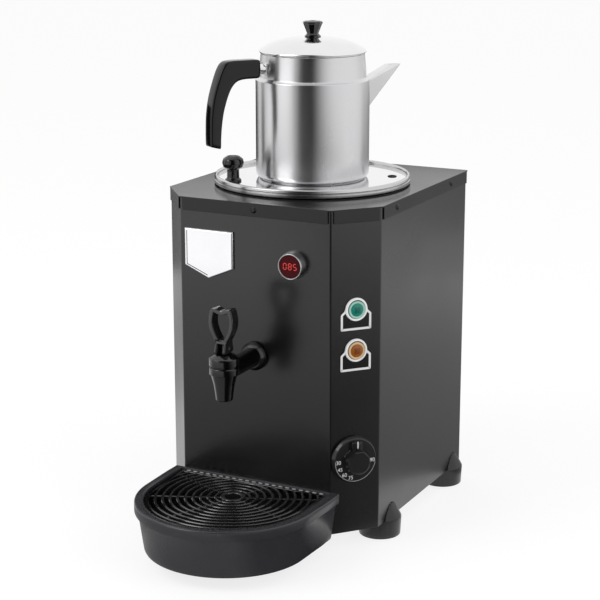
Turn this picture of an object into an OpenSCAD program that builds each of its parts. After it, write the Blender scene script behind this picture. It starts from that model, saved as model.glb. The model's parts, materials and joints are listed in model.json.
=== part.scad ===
// Hot water urn with a teapot on its lid. Millimetres, +Z up, the counter at z = 0, the tap towards -Y.
// The origin is under the middle of the whole outline.

/* [Casing] */
// Width of the casing
casing_w = 243; // [220:1:280]
// Depth of the casing
casing_d = 273; // [250:1:310]
// Height of the casing from its lower edge to the top of the cover
casing_h = 340; // [320:1:380]
// Sideways size of the two front corner chamfers
chamfer_x = 36; // [34:1:42]
// Fore and aft size of the two front corner chamfers
chamfer_y = 42; // [40:1:48]
// Thickness of the casing sheet
sheet = 1.2; // [0.8:0.1:1.5]
// Outer radius of the bends in the casing sheet
bend_r = 3; // [1.6:0.1:4]
// Width of the return flanges at the back of the casing
return_w = 14; // [12:1:18]
// Length of the flanges that the top cover folds down
flange_h = 14; // [12:0.5:16]
// Gap between the cover's flanges and the casing
cover_gap = 0.3; // [0.2:0.1:0.5]
// Length of the open notch at each corner of the cover's flanges
notch = 3; // [2:0.5:5]

/* [Feet] */
// Height of the feet under the casing
foot_h = 20; // [16:0.5:26]
// Radius of a foot
foot_r = 23; // [21:0.5:25]
// How far the fin of a foot climbs the side of the casing
fin_h = 16; // [12:0.5:22]
// Radius of the fin at its top
fin_top_r = 14; // [13.8:0.1:16]
// Distance from the centre of a foot to the side face of the casing
foot_inset = 13.2; // [10:0.1:13.5]
// Distance from the front face of the casing to the front feet
foot_front = 76; // [68:1:90]
// Distance from the back face of the casing to the rear feet
foot_rear = 22; // [18:1:40]

/* [Tank] */
// Outer radius of the water tank
tank_r = 97.5; // [90:0.5:98]
// Thickness of the tank wall
tank_wall = 1; // [0.8:0.1:1.5]
// Distance from the top of the cover to the underside of the tank
tank_h = 270; // [255:1:285]
// Distance from the middle of the casing to the tank axis, towards the front
tank_forward = 4; // [0:0.5:8]
// Width of the lip at the tank mouth
tank_lip = 3; // [2:0.5:4]
// Thickness of the insulation jacket
jacket = 10; // [8:0.5:12]
// Height of the collar on the tank mouth above the cover
collar_h = 3.5; // [3:0.1:5]
// Radius of the heating loop
loop_r = 50; // [42:1:60]
// Radius of the heating tube
tube_r = 4.2; // [3.5:0.1:5]
// Height of the heating loop above the tank floor
loop_h = 30; // [24:1:36]
// Angle between the two ends of the heating loop
loop_gap = 30; // [26:1:40]

/* [Urn lid] */
// How far the lid reaches beyond the tank
lid_over = 7; // [6:0.5:9]
// Thickness of the lid plate
lid_sheet = 1.2; // [1:0.1:1.6]
// Height of the lid rim above the collar
rim_h = 6.5; // [5.5:0.1:8]
// Width of the rounded lid rim
rim_band = 4.5; // [4.2:0.1:5.5]
// Depth of the lid plate below the top of its rim
lid_recess = 3.8; // [3:0.1:4.2]
// Depth of the lid rim that hangs around the collar
rim_skirt = 2.2; // [1.5:0.1:3]
// Distance from the lid's edge to the axis of its knob
lid_knob_in = 16; // [14.5:0.5:24]
// Direction of the lid knob from the lid axis, from +X
lid_knob_turn = 226; // [210:1:235]
// Height of the lid knob
lid_knob_h = 27; // [22:0.5:32]
// Radius of the head of the lid knob
lid_knob_r = 11.6; // [9:0.2:12]
// Distance from the lid's edge to the middle of the steam hole
steam_in = 19.5; // [14:0.5:29]
// Direction of the steam hole from the lid axis, from +X
steam_turn = 25; // [15:1:35]
// Radius of the steam hole
steam_r = 4; // [3:0.5:5]

/* [Teapot] */
// Radius of the teapot's body
pot_r = 60.2; // [56:0.1:62]
// Radius of the teapot's neck under the lid
neck_r = 54.6; // [52:0.2:55.5]
// Height of the teapot without its lid
pot_h = 133; // [122:0.5:142]
// Height of the neck above the shoulder
neck_h = 29; // [26:0.5:36]
// Wall of the teapot
pot_wall = 1; // [0.8:0.1:1.4]
// Direction of the spout from the teapot axis, from +X
pot_turn = 54; // [40:1:70]
// Distance from the teapot axis to the tip of the spout
spout_out = 106; // [100:1:112]
// Height of the tip of the spout above the shoulder
spout_rise = 10.5; // [6:0.5:14]
// Depth of the upper edge of the spout's root below the shoulder
spout_root_drop = 8.5; // [4:0.5:12]
// Length of the spout's root along the body
spout_root_l = 40; // [34:1:46]
// Width of the spout at its root
spout_root_w = 18; // [16:0.5:24]
// Width of the spout at its tip
spout_tip_w = 9; // [8:0.5:12]
// Height of the dome of the teapot lid
dome_h = 13.3; // [10:0.1:18]
// Thickness of the teapot handle
handle_t = 16; // [14:0.5:20]
// Distance from the teapot axis to the middle of the handle's grip
grip_out = 115; // [112:1:124]
// Depth of the handle's arm below the mouth of the teapot
arm_drop = 14.7; // [12:0.1:16.5]

/* [Tap] */
// Height of the tap's shank above the casing's lower edge
tap_h = 181; // [170:1:190]
// Distance from the front face of the casing to the nozzle axis
tap_reach = 65; // [58:1:72]
// Radius of the valve chamber's outside
valve_r = 14.8; // [13:0.2:15.6]
// Radius of the nozzle's outside
nozzle_r = 8.6; // [7.4:0.1:9]
// Radius of the nozzle's bore
nozzle_bore = 6; // [5:0.1:6.5]
// Distance from the shank's axis down to the nozzle's mouth
nozzle_drop = 29; // [28:0.5:34]
// Radius of the horizontal pipe
pipe_r = 10; // [9:0.1:10.5]
// Radius of the threaded shank
shank_r = 8; // [7:0.1:8.5]
// Radius of the water way through the shank
water_r = 5; // [4:0.1:5.5]
// Radius of the valve stem
stem_r = 3; // [2.5:0.1:3.5]
// Clearance around the stem and around the hinge pin
run_gap = 0.06; // [0.03:0.01:0.09]
// Rise of the cam under the lever for one radian of tilt
cam_rise = 4; // [3:0.5:4.5]
// Tilt of the lever when the tap is fully open
lever_tilt = 50; // [40:5:60]
// Radius of the pin that carries the lever
pin_r = 1.5; // [1.2:0.1:2]
// Height of the pin above the bonnet
pin_h = 6; // [5:0.5:8]
// Height of the lever above its pin
lever_h = 40.5; // [38:0.5:48]
// Width of the lever's loop
lever_w = 27; // [24:0.5:30]
// Thickness of the lever's loop from front to back
lever_t = 12.5; // [10:0.5:14]
// Width of the bar that forms the loop
loop_bar = 4; // [3:0.2:5]
// Width of the lever's fork
fork_w = 11.8; // [11:0.2:14]

/* [Drip tray] */
// Half width of the tray at the casing
tray_half = 96.5; // [92:0.5:99]
// Radius of the tray's round front
tray_r = 95; // [93:0.5:100]
// Distance from the casing to the centre of the round front
tray_out = 60; // [54:1:64]
// Height of the tray's rim above the casing's lower edge
tray_top = 47; // [43:0.5:52]
// How far the tray's floor hangs below the casing's lower edge
tray_drop = 5; // [2:0.5:10]
// Height of the rim band
band_h = 10.5; // [8.5:0.5:13]
// Step from the rim band in to the lower body
band_step = 3.5; // [2.5:0.5:6]
// How much narrower the tray is at its floor
tray_taper = 9.5; // [7:0.5:13]
// Wall of the tray
tray_wall = 2.5; // [2:0.1:3]
// Width of the rim around the grille
rim_w = 9.5; // [7:0.5:11]
// Thickness of the grille
grille_t = 4; // [3:0.5:5]
// Distance from the casing to the centre of the grille's rings
ring_out = 50; // [44:1:60]
// Distance between two rings of the grille
ring_pitch = 7.7; // [7:0.1:10]
// Width of a ring of the grille
ring_w = 3; // [2.4:0.2:4]
// Radius of the hole in the middle of the grille
grille_hole_r = 8.4; // [6:0.1:10]
// Width of the ring around the middle hole
eye_w = 4.6; // [3:0.1:5]
// Number of spokes under the rings
spokes = 8; // [6:1:10]
// Number of drain notches along the back of the grille
drains = 21; // [12:1:24]
// Distance between the two tongues that hold the tray
tongue_span = 100; // [80:1:120]
// Width of a tongue
tongue_w = 24; // [16:1:30]
// Thickness of a tongue
tongue_t = 3; // [2.5:0.1:4]

/* [Controls] */
// Height of the thermostat knob above the casing's lower edge
dial_h = 80; // [75:0.5:95]
// Sideways place of the thermostat from the middle of the chamfer
dial_x = -2.1; // [-4:0.1:4]
// Radius of the thermostat knob
dial_r = 24.2; // [21:0.1:25]
// Height of the skirt of the thermostat knob
dial_skirt = 7; // [6:0.5:12]
// Radius of the grip of the thermostat knob
grip_r = 13.3; // [12:0.1:15]
// Height of the thermostat knob
dial_depth = 17; // [15:0.5:24]
// Height of the upper lamp above the casing's lower edge
lamp_high = 237.5; // [230:0.5:250]
// Height of the lower lamp above the casing's lower edge
lamp_low = 195; // [186:0.5:200]
// Radius of a lamp's bezel
lamp_r = 12; // [10.5:0.5:13]
// Radius of a lamp's lens
lens_r = 8.3; // [7:0.1:9]
// Width of the plate behind a lamp
plate_w = 33.5; // [30:0.5:38]
// Distance from a lamp's centre to the lower edge of its plate
plate_drop = 21.5; // [19:0.5:24]
// Sideways place of the thermometer
meter_x = 44.8; // [38:0.5:48]
// Height of the thermometer above the casing's lower edge
meter_h = 281; // [268:1:288]
// Radius of the thermometer's bezel
meter_r = 14.5; // [13:0.5:16]
// How far the thermometer's bezel stands out
meter_out = 10; // [8:0.5:12]
// Radius of the thermometer's barrel behind the panel
barrel_r = 11; // [10:0.5:12]
// Height of the lamps' bezels
bezel_h = 2.4; // [2:0.1:5]
// Width of the badge plate
badge_w = 56.5; // [50:0.5:60]
// Height of the badge plate
badge_h = 51; // [46:0.5:56]
// Thickness of the badge plate
badge_t = 3; // [2:0.5:4]
// Reach of the cable gland behind the casing
gland_out = 20; // [16:1:26]

/* [Hidden] */
$fn = 96;
eps = 0.01;
touch = 0.05;          // air between curved pieces that are fitted to each other
tray_gap = 0.4;        // air between the tray and the casing

// Places of the main pieces
casing_y = (tray_r + tray_out - gland_out) / 2;
front_y = casing_y - casing_d / 2;
back_y = casing_y + casing_d / 2;
floor_z = foot_h;
top_z = foot_h + casing_h;
tank_y = casing_y - tank_forward;
tank_z = top_z - tank_h;
collar_z = top_z + collar_h;
collar_r = tank_r + 4;
lid_r = tank_r + lid_over;
lid_z = collar_z + rim_h;
plate_z = lid_z - lid_recess;
tap_y = front_y - tap_reach;
tap_z = floor_z + tap_h;
dial_z = floor_z + dial_h;
lamp_zs = [floor_z + lamp_high, floor_z + lamp_low];
meter_z = floor_z + meter_h;
rim_z = floor_z + tray_top;
tray_z = floor_z - tray_drop;

// Chamfer on the right: its middle, its outward direction and the places along it
chamfer_turn = atan2(chamfer_x, chamfer_y);
chamfer_mid = [casing_w / 2 - chamfer_x / 2, front_y + chamfer_y / 2];

// ---------- Shared shapes ----------

module tube(outer, inner, h) {
    difference() {
        cylinder(r = outer, h = h);
        translate([0, 0, -eps]) cylinder(r = inner, h = h + 2 * eps);
    }
}

// Stands a child that is drawn along +Z so that +Z points out of the front face
module out_of_front(x, z) {
    translate([x, front_y, z]) rotate([90, 0, 0]) children();
}

// The same for the right chamfer; z is the height above the counter and x runs along the chamfer
module out_of_chamfer(z, x = 0) {
    translate([chamfer_mid[0], chamfer_mid[1], z]) rotate([90, 0, 90 - chamfer_turn])
        translate([x, 0, 0]) children();
}

module out_of_dial() { out_of_chamfer(dial_z, dial_x) children(); }

module at_tank() { translate([0, tank_y, 0]) children(); }

module at_pot() { translate([0, tank_y, plate_z]) rotate([0, 0, pot_turn]) children(); }

module rod(from, to, r) {
    d = to - from;
    translate(from)
        rotate([0, acos(d[2] / norm(d)), atan2(d[1], d[0])])
            cylinder(r = r, h = norm(d), $fn = 16);
}

// ---------- Casing ----------

module casing_outline(grow = 0) {
    right = casing_w / 2;
    near = -casing_d / 2;
    translate([0, casing_y])
        offset(r = bend_r, $fn = 32)
            offset(delta = grow - bend_r)
                polygon([
                    [-right, -near], [-right, near + chamfer_y], [-right + chamfer_x, near],
                    [right - chamfer_x, near], [right, near + chamfer_y], [right, -near]
                ]);
}

cover_grow = cover_gap + sheet;
screw_r = 1.7;
cover_screw_z = top_z - flange_h / 2;
side_screw_ys = [casing_y - casing_d * 0.215, casing_y + casing_d * 0.32];
slot_gap = 0.3;
tongue_z = floor_z + tray_top / 2;
lamp_hole_r = 6.2;
dial_hole_r = 5;
rear_screw_xs = [-1, 1] * (casing_w / 2 - return_w / 2 - sheet);
rear_top_z = top_z - flange_h - 1;
rear_screw_zs = [floor_z + 20, (floor_z + rear_top_z) / 2, rear_top_z - 20];

module cover_screw_places() {
    out_of_front(0, cover_screw_z) children();
    for (side = [-1, 1], y = side_screw_ys)
        translate([side * casing_w / 2, y, cover_screw_z]) rotate([0, 90 * side, 0]) children();
}

module rear_screw_places() {
    for (x = rear_screw_xs, z = rear_screw_zs)
        translate([x, back_y, z]) rotate([-90, 0, 0]) children();
}

module casing_wrap() {
    color([0.2, 0.2, 0.21])
    difference() {
        translate([0, 0, floor_z]) linear_extrude(casing_h - sheet) difference() {
            casing_outline();
            casing_outline(-sheet);
            translate([0, back_y]) square([casing_w - 2 * return_w, 4 * sheet], center = true);
        }
        cover_screw_places() cylinder(r = screw_r, h = 4 * sheet, center = true);
        rear_screw_places() cylinder(r = screw_r, h = 4 * sheet, center = true);
        out_of_front(0, tap_z) cylinder(r = shank_r + 0.5, h = 4 * sheet, center = true);
        out_of_front(meter_x, meter_z) cylinder(r = barrel_r + 0.2, h = 4 * sheet, center = true);
        for (z = lamp_zs)
            out_of_chamfer(z) cylinder(r = lamp_hole_r, h = 4 * sheet, center = true);
        out_of_dial() cylinder(r = dial_hole_r, h = 4 * sheet, center = true);
        for (side = [-1, 1])
            translate([side * tongue_span / 2, front_y, tongue_z])
                cube([tongue_w + 2 * slot_gap, 4 * sheet, tongue_t + 2 * slot_gap], center = true);
    }
}

gland_side = 51.5;         // from the casing's left side to the middle of the gland
gland_x = gland_side - casing_w / 2;
gland_z = floor_z + 34;
gland_r = 10;
vent_w = 44;
vent_h = 4;
vent_pitch = 12;
vent_rows = 6;

module rear_panel() {
    panel_w = casing_w - 2 * bend_r;
    color([0.19, 0.19, 0.2])
    difference() {
        translate([-panel_w / 2, back_y, floor_z]) cube([panel_w, sheet, rear_top_z - floor_z]);
        rear_screw_places() cylinder(r = screw_r, h = 4 * sheet, center = true);
        translate([gland_x, back_y, gland_z]) rotate([90, 0, 0])
            cylinder(r = gland_r + 0.2, h = 4 * sheet, center = true);
        for (side = [-1, 1], row = [0 : vent_rows - 1])
            translate([side * vent_w * 0.75, back_y, rear_top_z - 40 - row * vent_pitch])
                cube([vent_w, 4 * sheet, vent_h], center = true);
    }
}

cover_hole_r = tank_r + 0.3;

module top_cover() {
    color([0.24, 0.24, 0.25])
    difference() {
        union() {
            translate([0, 0, top_z - sheet]) linear_extrude(sheet) casing_outline(cover_grow);
            translate([0, 0, top_z - flange_h]) linear_extrude(flange_h - sheet + eps) difference() {
                casing_outline(cover_grow);
                casing_outline(cover_gap);
                flange_notches();
            }
        }
        at_tank() cylinder(r = cover_hole_r, h = 2 * top_z);
        cover_screw_places() cylinder(r = screw_r, h = 8 * sheet, center = true);
    }
}

module flange_notches() {
    right = casing_w / 2;
    near = casing_d / 2;
    translate([0, casing_y])
        for (side = [-1, 1], p = [[right - chamfer_x, -near], [right, chamfer_y - near], [right, near]])
            translate([side * p[0], p[1]]) circle(r = notch, $fn = 24);
}

module base_plate() {
    color([0.55, 0.56, 0.58])
    difference() {
        translate([0, 0, floor_z]) linear_extrude(sheet) difference() {
            casing_outline(-sheet - touch);
            translate([0, back_y]) square([casing_w, 2 * sheet], center = true);
        }
        foot_places() translate([foot_screw_in, 0, -eps]) cylinder(r = foot_screw_r, h = 2 * floor_z);
    }
}

// ---------- Feet ----------

foot_screw_in = -11.5;
foot_screw_r = 2;
foot_recess = 6;

module foot_place(side, end) {
    y = end < 0 ? front_y + foot_front : back_y - foot_rear;
    translate([side * (casing_w / 2 - foot_inset), y, 0]) mirror([side < 0 ? 1 : 0, 0, 0]) children();
}

module foot_places() {
    for (side = [-1, 1], end = [-1, 1]) foot_place(side, end) children();
}

module foot(side, end) {
    color([0.13, 0.13, 0.13])
    difference() {
        foot_place(side, end) rotate_extrude() polygon([
            [0, 0], [foot_r - 1, 0], [foot_r, foot_h], [fin_top_r, foot_h + fin_h], [0, foot_h + fin_h]
        ]);
        translate([0, 0, foot_h]) linear_extrude(casing_h) casing_outline();
        translate([-casing_w / 2, back_y - eps, foot_h]) cube([casing_w, sheet + touch, fin_h + 1]);
        foot_place(side, end) translate([foot_screw_in, 0, 0]) {
            translate([0, 0, -eps]) cylinder(r = 2 * foot_screw_r + 0.5, h = foot_recess + eps);
            cylinder(r = foot_screw_r + touch, h = 2 * foot_h);
        }
    }
}

module foot_front_left() { foot(-1, -1); }
module foot_front_right() { foot(1, -1); }
module foot_rear_left() { foot(-1, 1); }
module foot_rear_right() { foot(1, 1); }

module foot_screws() {
    color("silver")
    foot_places() translate([foot_screw_in, 0, foot_recess]) {
        translate([0, 0, -foot_screw_r]) cylinder(r = 2 * foot_screw_r, h = foot_screw_r);
        cylinder(r = foot_screw_r, h = foot_h - foot_recess + 2 * foot_screw_r);
    }
}

// A pan head with its shank, drawn with the head towards +Z
module pan_screw(length) {
    cylinder(r1 = 2 * screw_r, r2 = screw_r, h = screw_r);
    translate([0, 0, -length]) cylinder(r = screw_r, h = length + eps);
}

module cover_screws() {
    color([0.08, 0.08, 0.08]) cover_screw_places() translate([0, 0, cover_grow]) pan_screw(4 * sheet);
}

module rear_screws() {
    color([0.08, 0.08, 0.08]) rear_screw_places() translate([0, 0, sheet]) pan_screw(4 * sheet);
}

// ---------- Tank ----------

boss_r = shank_r + 3;
boss_l = 14;
leg_r = tube_r + touch;
leg_turns = [-loop_gap / 2, loop_gap / 2];
limit_z = tank_z + 70;
limit_r = 8;
bulb_turn = -50;
bulb_r = 3;
bulb_z = tank_z + 20;
bulb_l = 80;

module tank() {
    color([0.75, 0.75, 0.77])
    difference() {
        union() {
            at_tank() translate([0, 0, tank_z]) cylinder(r = tank_r, h = tank_h + tank_wall);
            at_tank() translate([0, 0, top_z]) cylinder(r = tank_r + tank_lip, h = tank_wall);
            translate([0, tank_y - tank_r - boss_l, tap_z]) rotate([-90, 0, 0])
                cylinder(r = boss_r, h = boss_l + 5 * tank_wall);
        }
        at_tank() translate([0, 0, tank_z + tank_wall]) cylinder(r = tank_r - tank_wall, h = tank_h + 10);
        translate([0, tank_y - tank_r - boss_l - 1, tap_z]) rotate([-90, 0, 0])
            cylinder(r = shank_r + touch, h = boss_l + tank_r / 2);
        at_tank() for (turn = leg_turns)
            rotate([0, 0, turn]) translate([loop_r, 0, tank_z - 1]) cylinder(r = leg_r, h = 10);
    }
}

stand_r = tank_r - 11.5;
stand_wall = 1.5;
stand_window = 60;

module tank_stand() {
    h = tank_z - floor_z - sheet;
    color([0.6, 0.6, 0.62])
    at_tank() translate([0, 0, floor_z + sheet]) difference() {
        tube(stand_r, stand_r - stand_wall, h);
        for (turn = [0, 90]) rotate([0, 0, turn + 45])
            translate([0, 0, h / 2]) cube([3 * stand_r, stand_window, h - 24], center = true);
    }
}

module tank_collar() {
    color([0.07, 0.07, 0.07])
    at_tank() difference() {
        translate([0, 0, top_z]) tube(collar_r, tank_r - tank_wall, collar_h);
        translate([0, 0, top_z - eps]) cylinder(r = tank_r + tank_lip + touch, h = tank_wall + eps);
    }
}

jacket_in = tank_r + touch;
jacket_out = jacket_in + jacket;
jacket_top = top_z - flange_h;

module insulation_jacket() {
    color([0.85, 0.8, 0.6])
    difference() {
        at_tank() translate([0, 0, tank_z]) tube(jacket_out, jacket_in, jacket_top - tank_z);
        translate([0, tank_y, tap_z]) rotate([90, 0, 0]) cylinder(r = boss_r + 0.3, h = 2 * tank_r);
        translate([0, tank_y, limit_z]) rotate([-90, 0, 0]) cylinder(r = limit_r + 1, h = 2 * tank_r);
        at_tank() rotate([0, 0, bulb_turn])
            translate([tank_r, -bulb_r - 1, tank_z - 1]) cube([2 * bulb_r + 1, 2 * bulb_r + 2, bulb_l + 40]);
    }
}

flange_r = loop_r * sin(loop_gap / 2) + tube_r + 7;
heater_flange_t = 5;
gasket_t = 2;
heater_drop = gasket_t + heater_flange_t + 12;
elbow_r = tube_r + 0.5;

module heater_place() {
    at_tank() translate([loop_r * cos(loop_gap / 2), 0, tank_z]) children();
}

module heating_element() {
    color([0.5, 0.5, 0.52])
    at_tank() {
        translate([0, 0, tank_z + loop_h]) rotate([0, 0, loop_gap / 2])
            rotate_extrude(angle = 360 - loop_gap) translate([loop_r, 0]) circle(r = tube_r);
        for (turn = leg_turns) rotate([0, 0, turn]) translate([loop_r, 0, 0]) {
            translate([0, 0, tank_z + loop_h - elbow_r]) cylinder(r = elbow_r, h = 2 * elbow_r);
            translate([0, 0, tank_z - heater_drop]) cylinder(r = tube_r, h = heater_drop + loop_h);
        }
    }
}

module heater_holes() {
    at_tank() for (turn = leg_turns)
        rotate([0, 0, turn]) translate([loop_r, 0, 0]) cylinder(r = leg_r, h = tank_z);
}

module heater_gasket() {
    color([0.15, 0.15, 0.15])
    difference() {
        heater_place() translate([0, 0, -gasket_t]) cylinder(r = flange_r, h = gasket_t);
        heater_holes();
    }
}

module heater_flange() {
    color([0.8, 0.65, 0.3])
    difference() {
        heater_place() translate([0, 0, -gasket_t - heater_flange_t])
            cylinder(r = flange_r, h = heater_flange_t);
        heater_holes();
    }
}

module limit_thermostat() {
    color([0.82, 0.8, 0.75])
    translate([0, tank_y + tank_r + touch, limit_z]) rotate([-90, 0, 0]) {
        cylinder(r = limit_r, h = jacket + 4);
        for (side = [-1, 1]) translate([side * 4, 0, jacket + 8]) cube([1, 6, 9], center = true);
    }
}

// ---------- Thermostat ----------

stat_w = 40;
stat_t = 28;
shaft_r = 3;
shaft_l = 18;
shaft_flat = shaft_r - 1;   // distance from the shaft's axis to its flat
bracket_t = 2;

module thermostat_body() {
    color([0.7, 0.68, 0.62])
    difference() {
        union() {
            out_of_dial() translate([0, 0, -sheet - touch - stat_t - bracket_t])
                translate([-stat_w / 2, -stat_w / 2, 0]) cube([stat_w, stat_w, stat_t + bracket_t / 2]);
            out_of_dial() translate([0, 0, -sheet - touch - bracket_t / 2])
                cube([stat_w + 8, stat_w / 2, bracket_t], center = true);
        }
        out_of_dial() translate([0, 0, -stat_t]) cylinder(r = shaft_r + run_gap, h = 2 * stat_t);
    }
}

bulb_out = tank_r + bulb_r + 2 * touch;
bulb_at = [bulb_out * cos(bulb_turn), tank_y + bulb_out * sin(bulb_turn)];
capillary_r = 1;
bend_bead = capillary_r + 0.2;

module thermostat_bulb() {
    back = sheet + stat_t + bracket_t + 2 * touch + bend_bead;
    entry = [
        chamfer_mid[0] - back * sin(90 - chamfer_turn) + dial_x * cos(90 - chamfer_turn),
        chamfer_mid[1] + back * cos(90 - chamfer_turn) + dial_x * sin(90 - chamfer_turn),
        dial_z
    ];
    corner = [bulb_at[0], bulb_at[1], tank_z - 12];
    color([0.72, 0.45, 0.3]) {
        translate([bulb_at[0], bulb_at[1], bulb_z]) cylinder(r = bulb_r, h = bulb_l);
        rod([bulb_at[0], bulb_at[1], bulb_z], corner, capillary_r);
        translate(corner) sphere(r = bend_bead, $fn = 16);
        rod(corner, entry, capillary_r);
        translate(entry) sphere(r = bend_bead, $fn = 16);
    }
}

module thermostat_shaft() {
    color("silver")
    out_of_dial() difference() {
        translate([0, 0, -shaft_l + 2]) cylinder(r = shaft_r, h = shaft_l + dial_skirt);
        translate([shaft_flat, -shaft_r, 0]) cube([2 * shaft_r, 2 * shaft_r, shaft_l]);
    }
}

dial_gap = 0.6;
dial_edge = 3;             // height of the straight edge of the skirt
skirt_slope = 2;           // how much narrower the skirt is at its face
grip_draft = 0.8;
pointer_w = 12;
pointer_h = 6;

module thermostat_knob() {
    color([0.09, 0.09, 0.09])
    out_of_dial() difference() {
        union() {
            translate([0, 0, dial_gap]) cylinder(r = dial_r, h = dial_edge);
            translate([0, 0, dial_gap + dial_edge - eps])
                cylinder(r1 = dial_r, r2 = dial_r - skirt_slope, h = dial_skirt - dial_edge);
            dial_grip();
            dial_pointer();
        }
        translate([0, 0, -eps]) difference() {
            cylinder(r = shaft_r + touch, h = dial_skirt + 2 + 2 * eps);
            translate([shaft_flat + touch, -shaft_r, -1]) cube([2 * shaft_r, 2 * shaft_r, 2 * shaft_l]);
        }
    }
}

// The grip is round below and has flats above, as on an octagon
module dial_grip() {
    translate([0, 0, dial_skirt]) intersection() {
        cylinder(r1 = grip_r, r2 = grip_r - grip_draft, h = dial_depth - dial_skirt);
        union() {
            translate([-grip_r, -grip_r, 0]) cube([2 * grip_r, grip_r, dial_depth]);
            rotate([0, 0, 22.5]) cylinder(r = grip_r, h = dial_depth, $fn = 8);
        }
    }
}

// A flat bar from the grip to the edge of the skirt
module dial_pointer() {
    intersection() {
        translate([-pointer_w / 2, 0, dial_skirt - eps]) cube([pointer_w, dial_r, pointer_h]);
        cylinder(r = dial_r - skirt_slope, h = dial_depth);
    }
}

// ---------- Thermometer, lamps and badge ----------

barrel_l = 20;
face_sink = 1.5;           // depth of the display below the bezel's face
bezel_edge = 2;            // height of the slope at the bezel's face
display_t = 0.8;
display_r = meter_r - 2.7;

module thermometer_bezel() {
    color([0.8, 0.8, 0.82])
    out_of_front(meter_x, meter_z) difference() {
        union() {
            cylinder(r = meter_r, h = meter_out - bezel_edge);
            translate([0, 0, meter_out - bezel_edge - eps])
                cylinder(r1 = meter_r, r2 = meter_r - 0.8, h = bezel_edge);
            translate([0, 0, -barrel_l]) cylinder(r = barrel_r, h = barrel_l + eps);
        }
        translate([0, 0, meter_out - face_sink])
            cylinder(r1 = display_r + 0.1, r2 = display_r + 0.5, h = bezel_edge);
        translate([0, 0, -barrel_l - eps]) cylinder(r = barrel_r - 1.5, h = barrel_l + meter_out - 6);
    }
}

module thermometer_display() {
    color([0.35, 0.02, 0.03])
    out_of_front(meter_x, meter_z) translate([0, 0, meter_out - face_sink])
        cylinder(r = display_r, h = display_t);
}

module ring_nut(outer, hole, h) {
    difference() {
        cylinder(r = outer, h = h, $fn = 6);
        translate([0, 0, -1]) cylinder(r = hole, h = h + 2);
    }
}

meter_nut_h = 4;

module thermometer_nut() {
    color([0.1, 0.1, 0.1])
    out_of_front(meter_x, meter_z) translate([0, 0, -sheet - meter_nut_h])
        ring_nut(barrel_r + 5, barrel_r + touch, meter_nut_h);
}

lamp_body_r = 6;
lamp_body_l = 24;
lamp_nut_h = 3;
lamp_plate_t = 0.8;
lens_seat = 1;             // height of the lens's back above the panel
lens_dome = 1.2;
bezel_top = lamp_plate_t + bezel_h;

module lamp_bezel(z) {
    color([0.85, 0.85, 0.85])
    out_of_chamfer(z) difference() {
        union() {
            translate([0, 0, lamp_plate_t]) cylinder(r1 = lamp_r, r2 = lamp_r - 1, h = bezel_h);
            translate([0, 0, -lamp_body_l]) cylinder(r = lamp_body_r, h = lamp_body_l + lamp_plate_t + eps);
        }
        translate([0, 0, lens_seat]) cylinder(r = lens_r + touch, h = 2 * bezel_h);
    }
}

module lamp_lens(z, tint) {
    wall_h = bezel_top - lens_seat - lens_dome / 2;
    color(tint)
    out_of_chamfer(z) translate([0, 0, lens_seat]) {
        cylinder(r = lens_r, h = wall_h);
        translate([0, 0, wall_h - eps]) cylinder(r1 = lens_r, r2 = lens_r - 2 * lens_dome, h = lens_dome);
    }
}

lamp_margin = 0.5;         // edge of the plate beyond the bezel
shoulder_rise = 17;        // height of the plate's straight sides

// The plate is a rectangle under the lamp with shoulders that close round the bezel
module lamp_plate(z) {
    shoulder = shoulder_rise - plate_drop;
    color([0.05, 0.05, 0.05])
    out_of_chamfer(z) difference() {
        linear_extrude(lamp_plate_t) {
            polygon([
                [-plate_w / 2, -plate_drop], [plate_w / 2, -plate_drop], [plate_w / 2, shoulder],
                [lamp_r + lamp_margin, 0], [-lamp_r - lamp_margin, 0], [-plate_w / 2, shoulder]
            ]);
            circle(r = lamp_r + lamp_margin);
        }
        translate([0, 0, -1]) cylinder(r = lamp_body_r + touch, h = 2 + lamp_plate_t);
    }
}

module green_lamp_bezel() { lamp_bezel(lamp_zs[0]); }
module green_lamp_lens() { lamp_lens(lamp_zs[0], [0.05, 0.5, 0.4]); }
module green_lamp_plate() { lamp_plate(lamp_zs[0]); }
module amber_lamp_bezel() { lamp_bezel(lamp_zs[1]); }
module amber_lamp_lens() { lamp_lens(lamp_zs[1], [0.6, 0.32, 0.08]); }
module amber_lamp_plate() { lamp_plate(lamp_zs[1]); }

module lamp_nuts() {
    color("silver")
    for (z = lamp_zs)
        out_of_chamfer(z) translate([0, 0, -sheet - lamp_nut_h])
            ring_nut(lamp_body_r + 4, lamp_body_r + touch, lamp_nut_h);
}

badge_x = -51.8;
badge_drop = 32;           // from the top of the cover to the badge
badge_top = top_z - badge_drop;
badge_point = 12;          // height of the point at the badge's lower edge
badge_bevel = 1.2;

module badge_outline() {
    polygon([
        [-badge_w / 2, 0], [badge_w / 2, 0], [badge_w / 2, badge_point - badge_h],
        [0, -badge_h], [-badge_w / 2, badge_point - badge_h]
    ]);
}

module badge_plate() {
    color([0.9, 0.9, 0.92])
    out_of_front(badge_x, badge_top) {
        linear_extrude(badge_t - badge_bevel) badge_outline();
        hull() {
            translate([0, 0, badge_t - badge_bevel]) linear_extrude(eps) badge_outline();
            translate([0, 0, badge_t - eps]) linear_extrude(eps) offset(delta = -badge_bevel) badge_outline();
        }
    }
}

// ---------- Tap ----------

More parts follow.
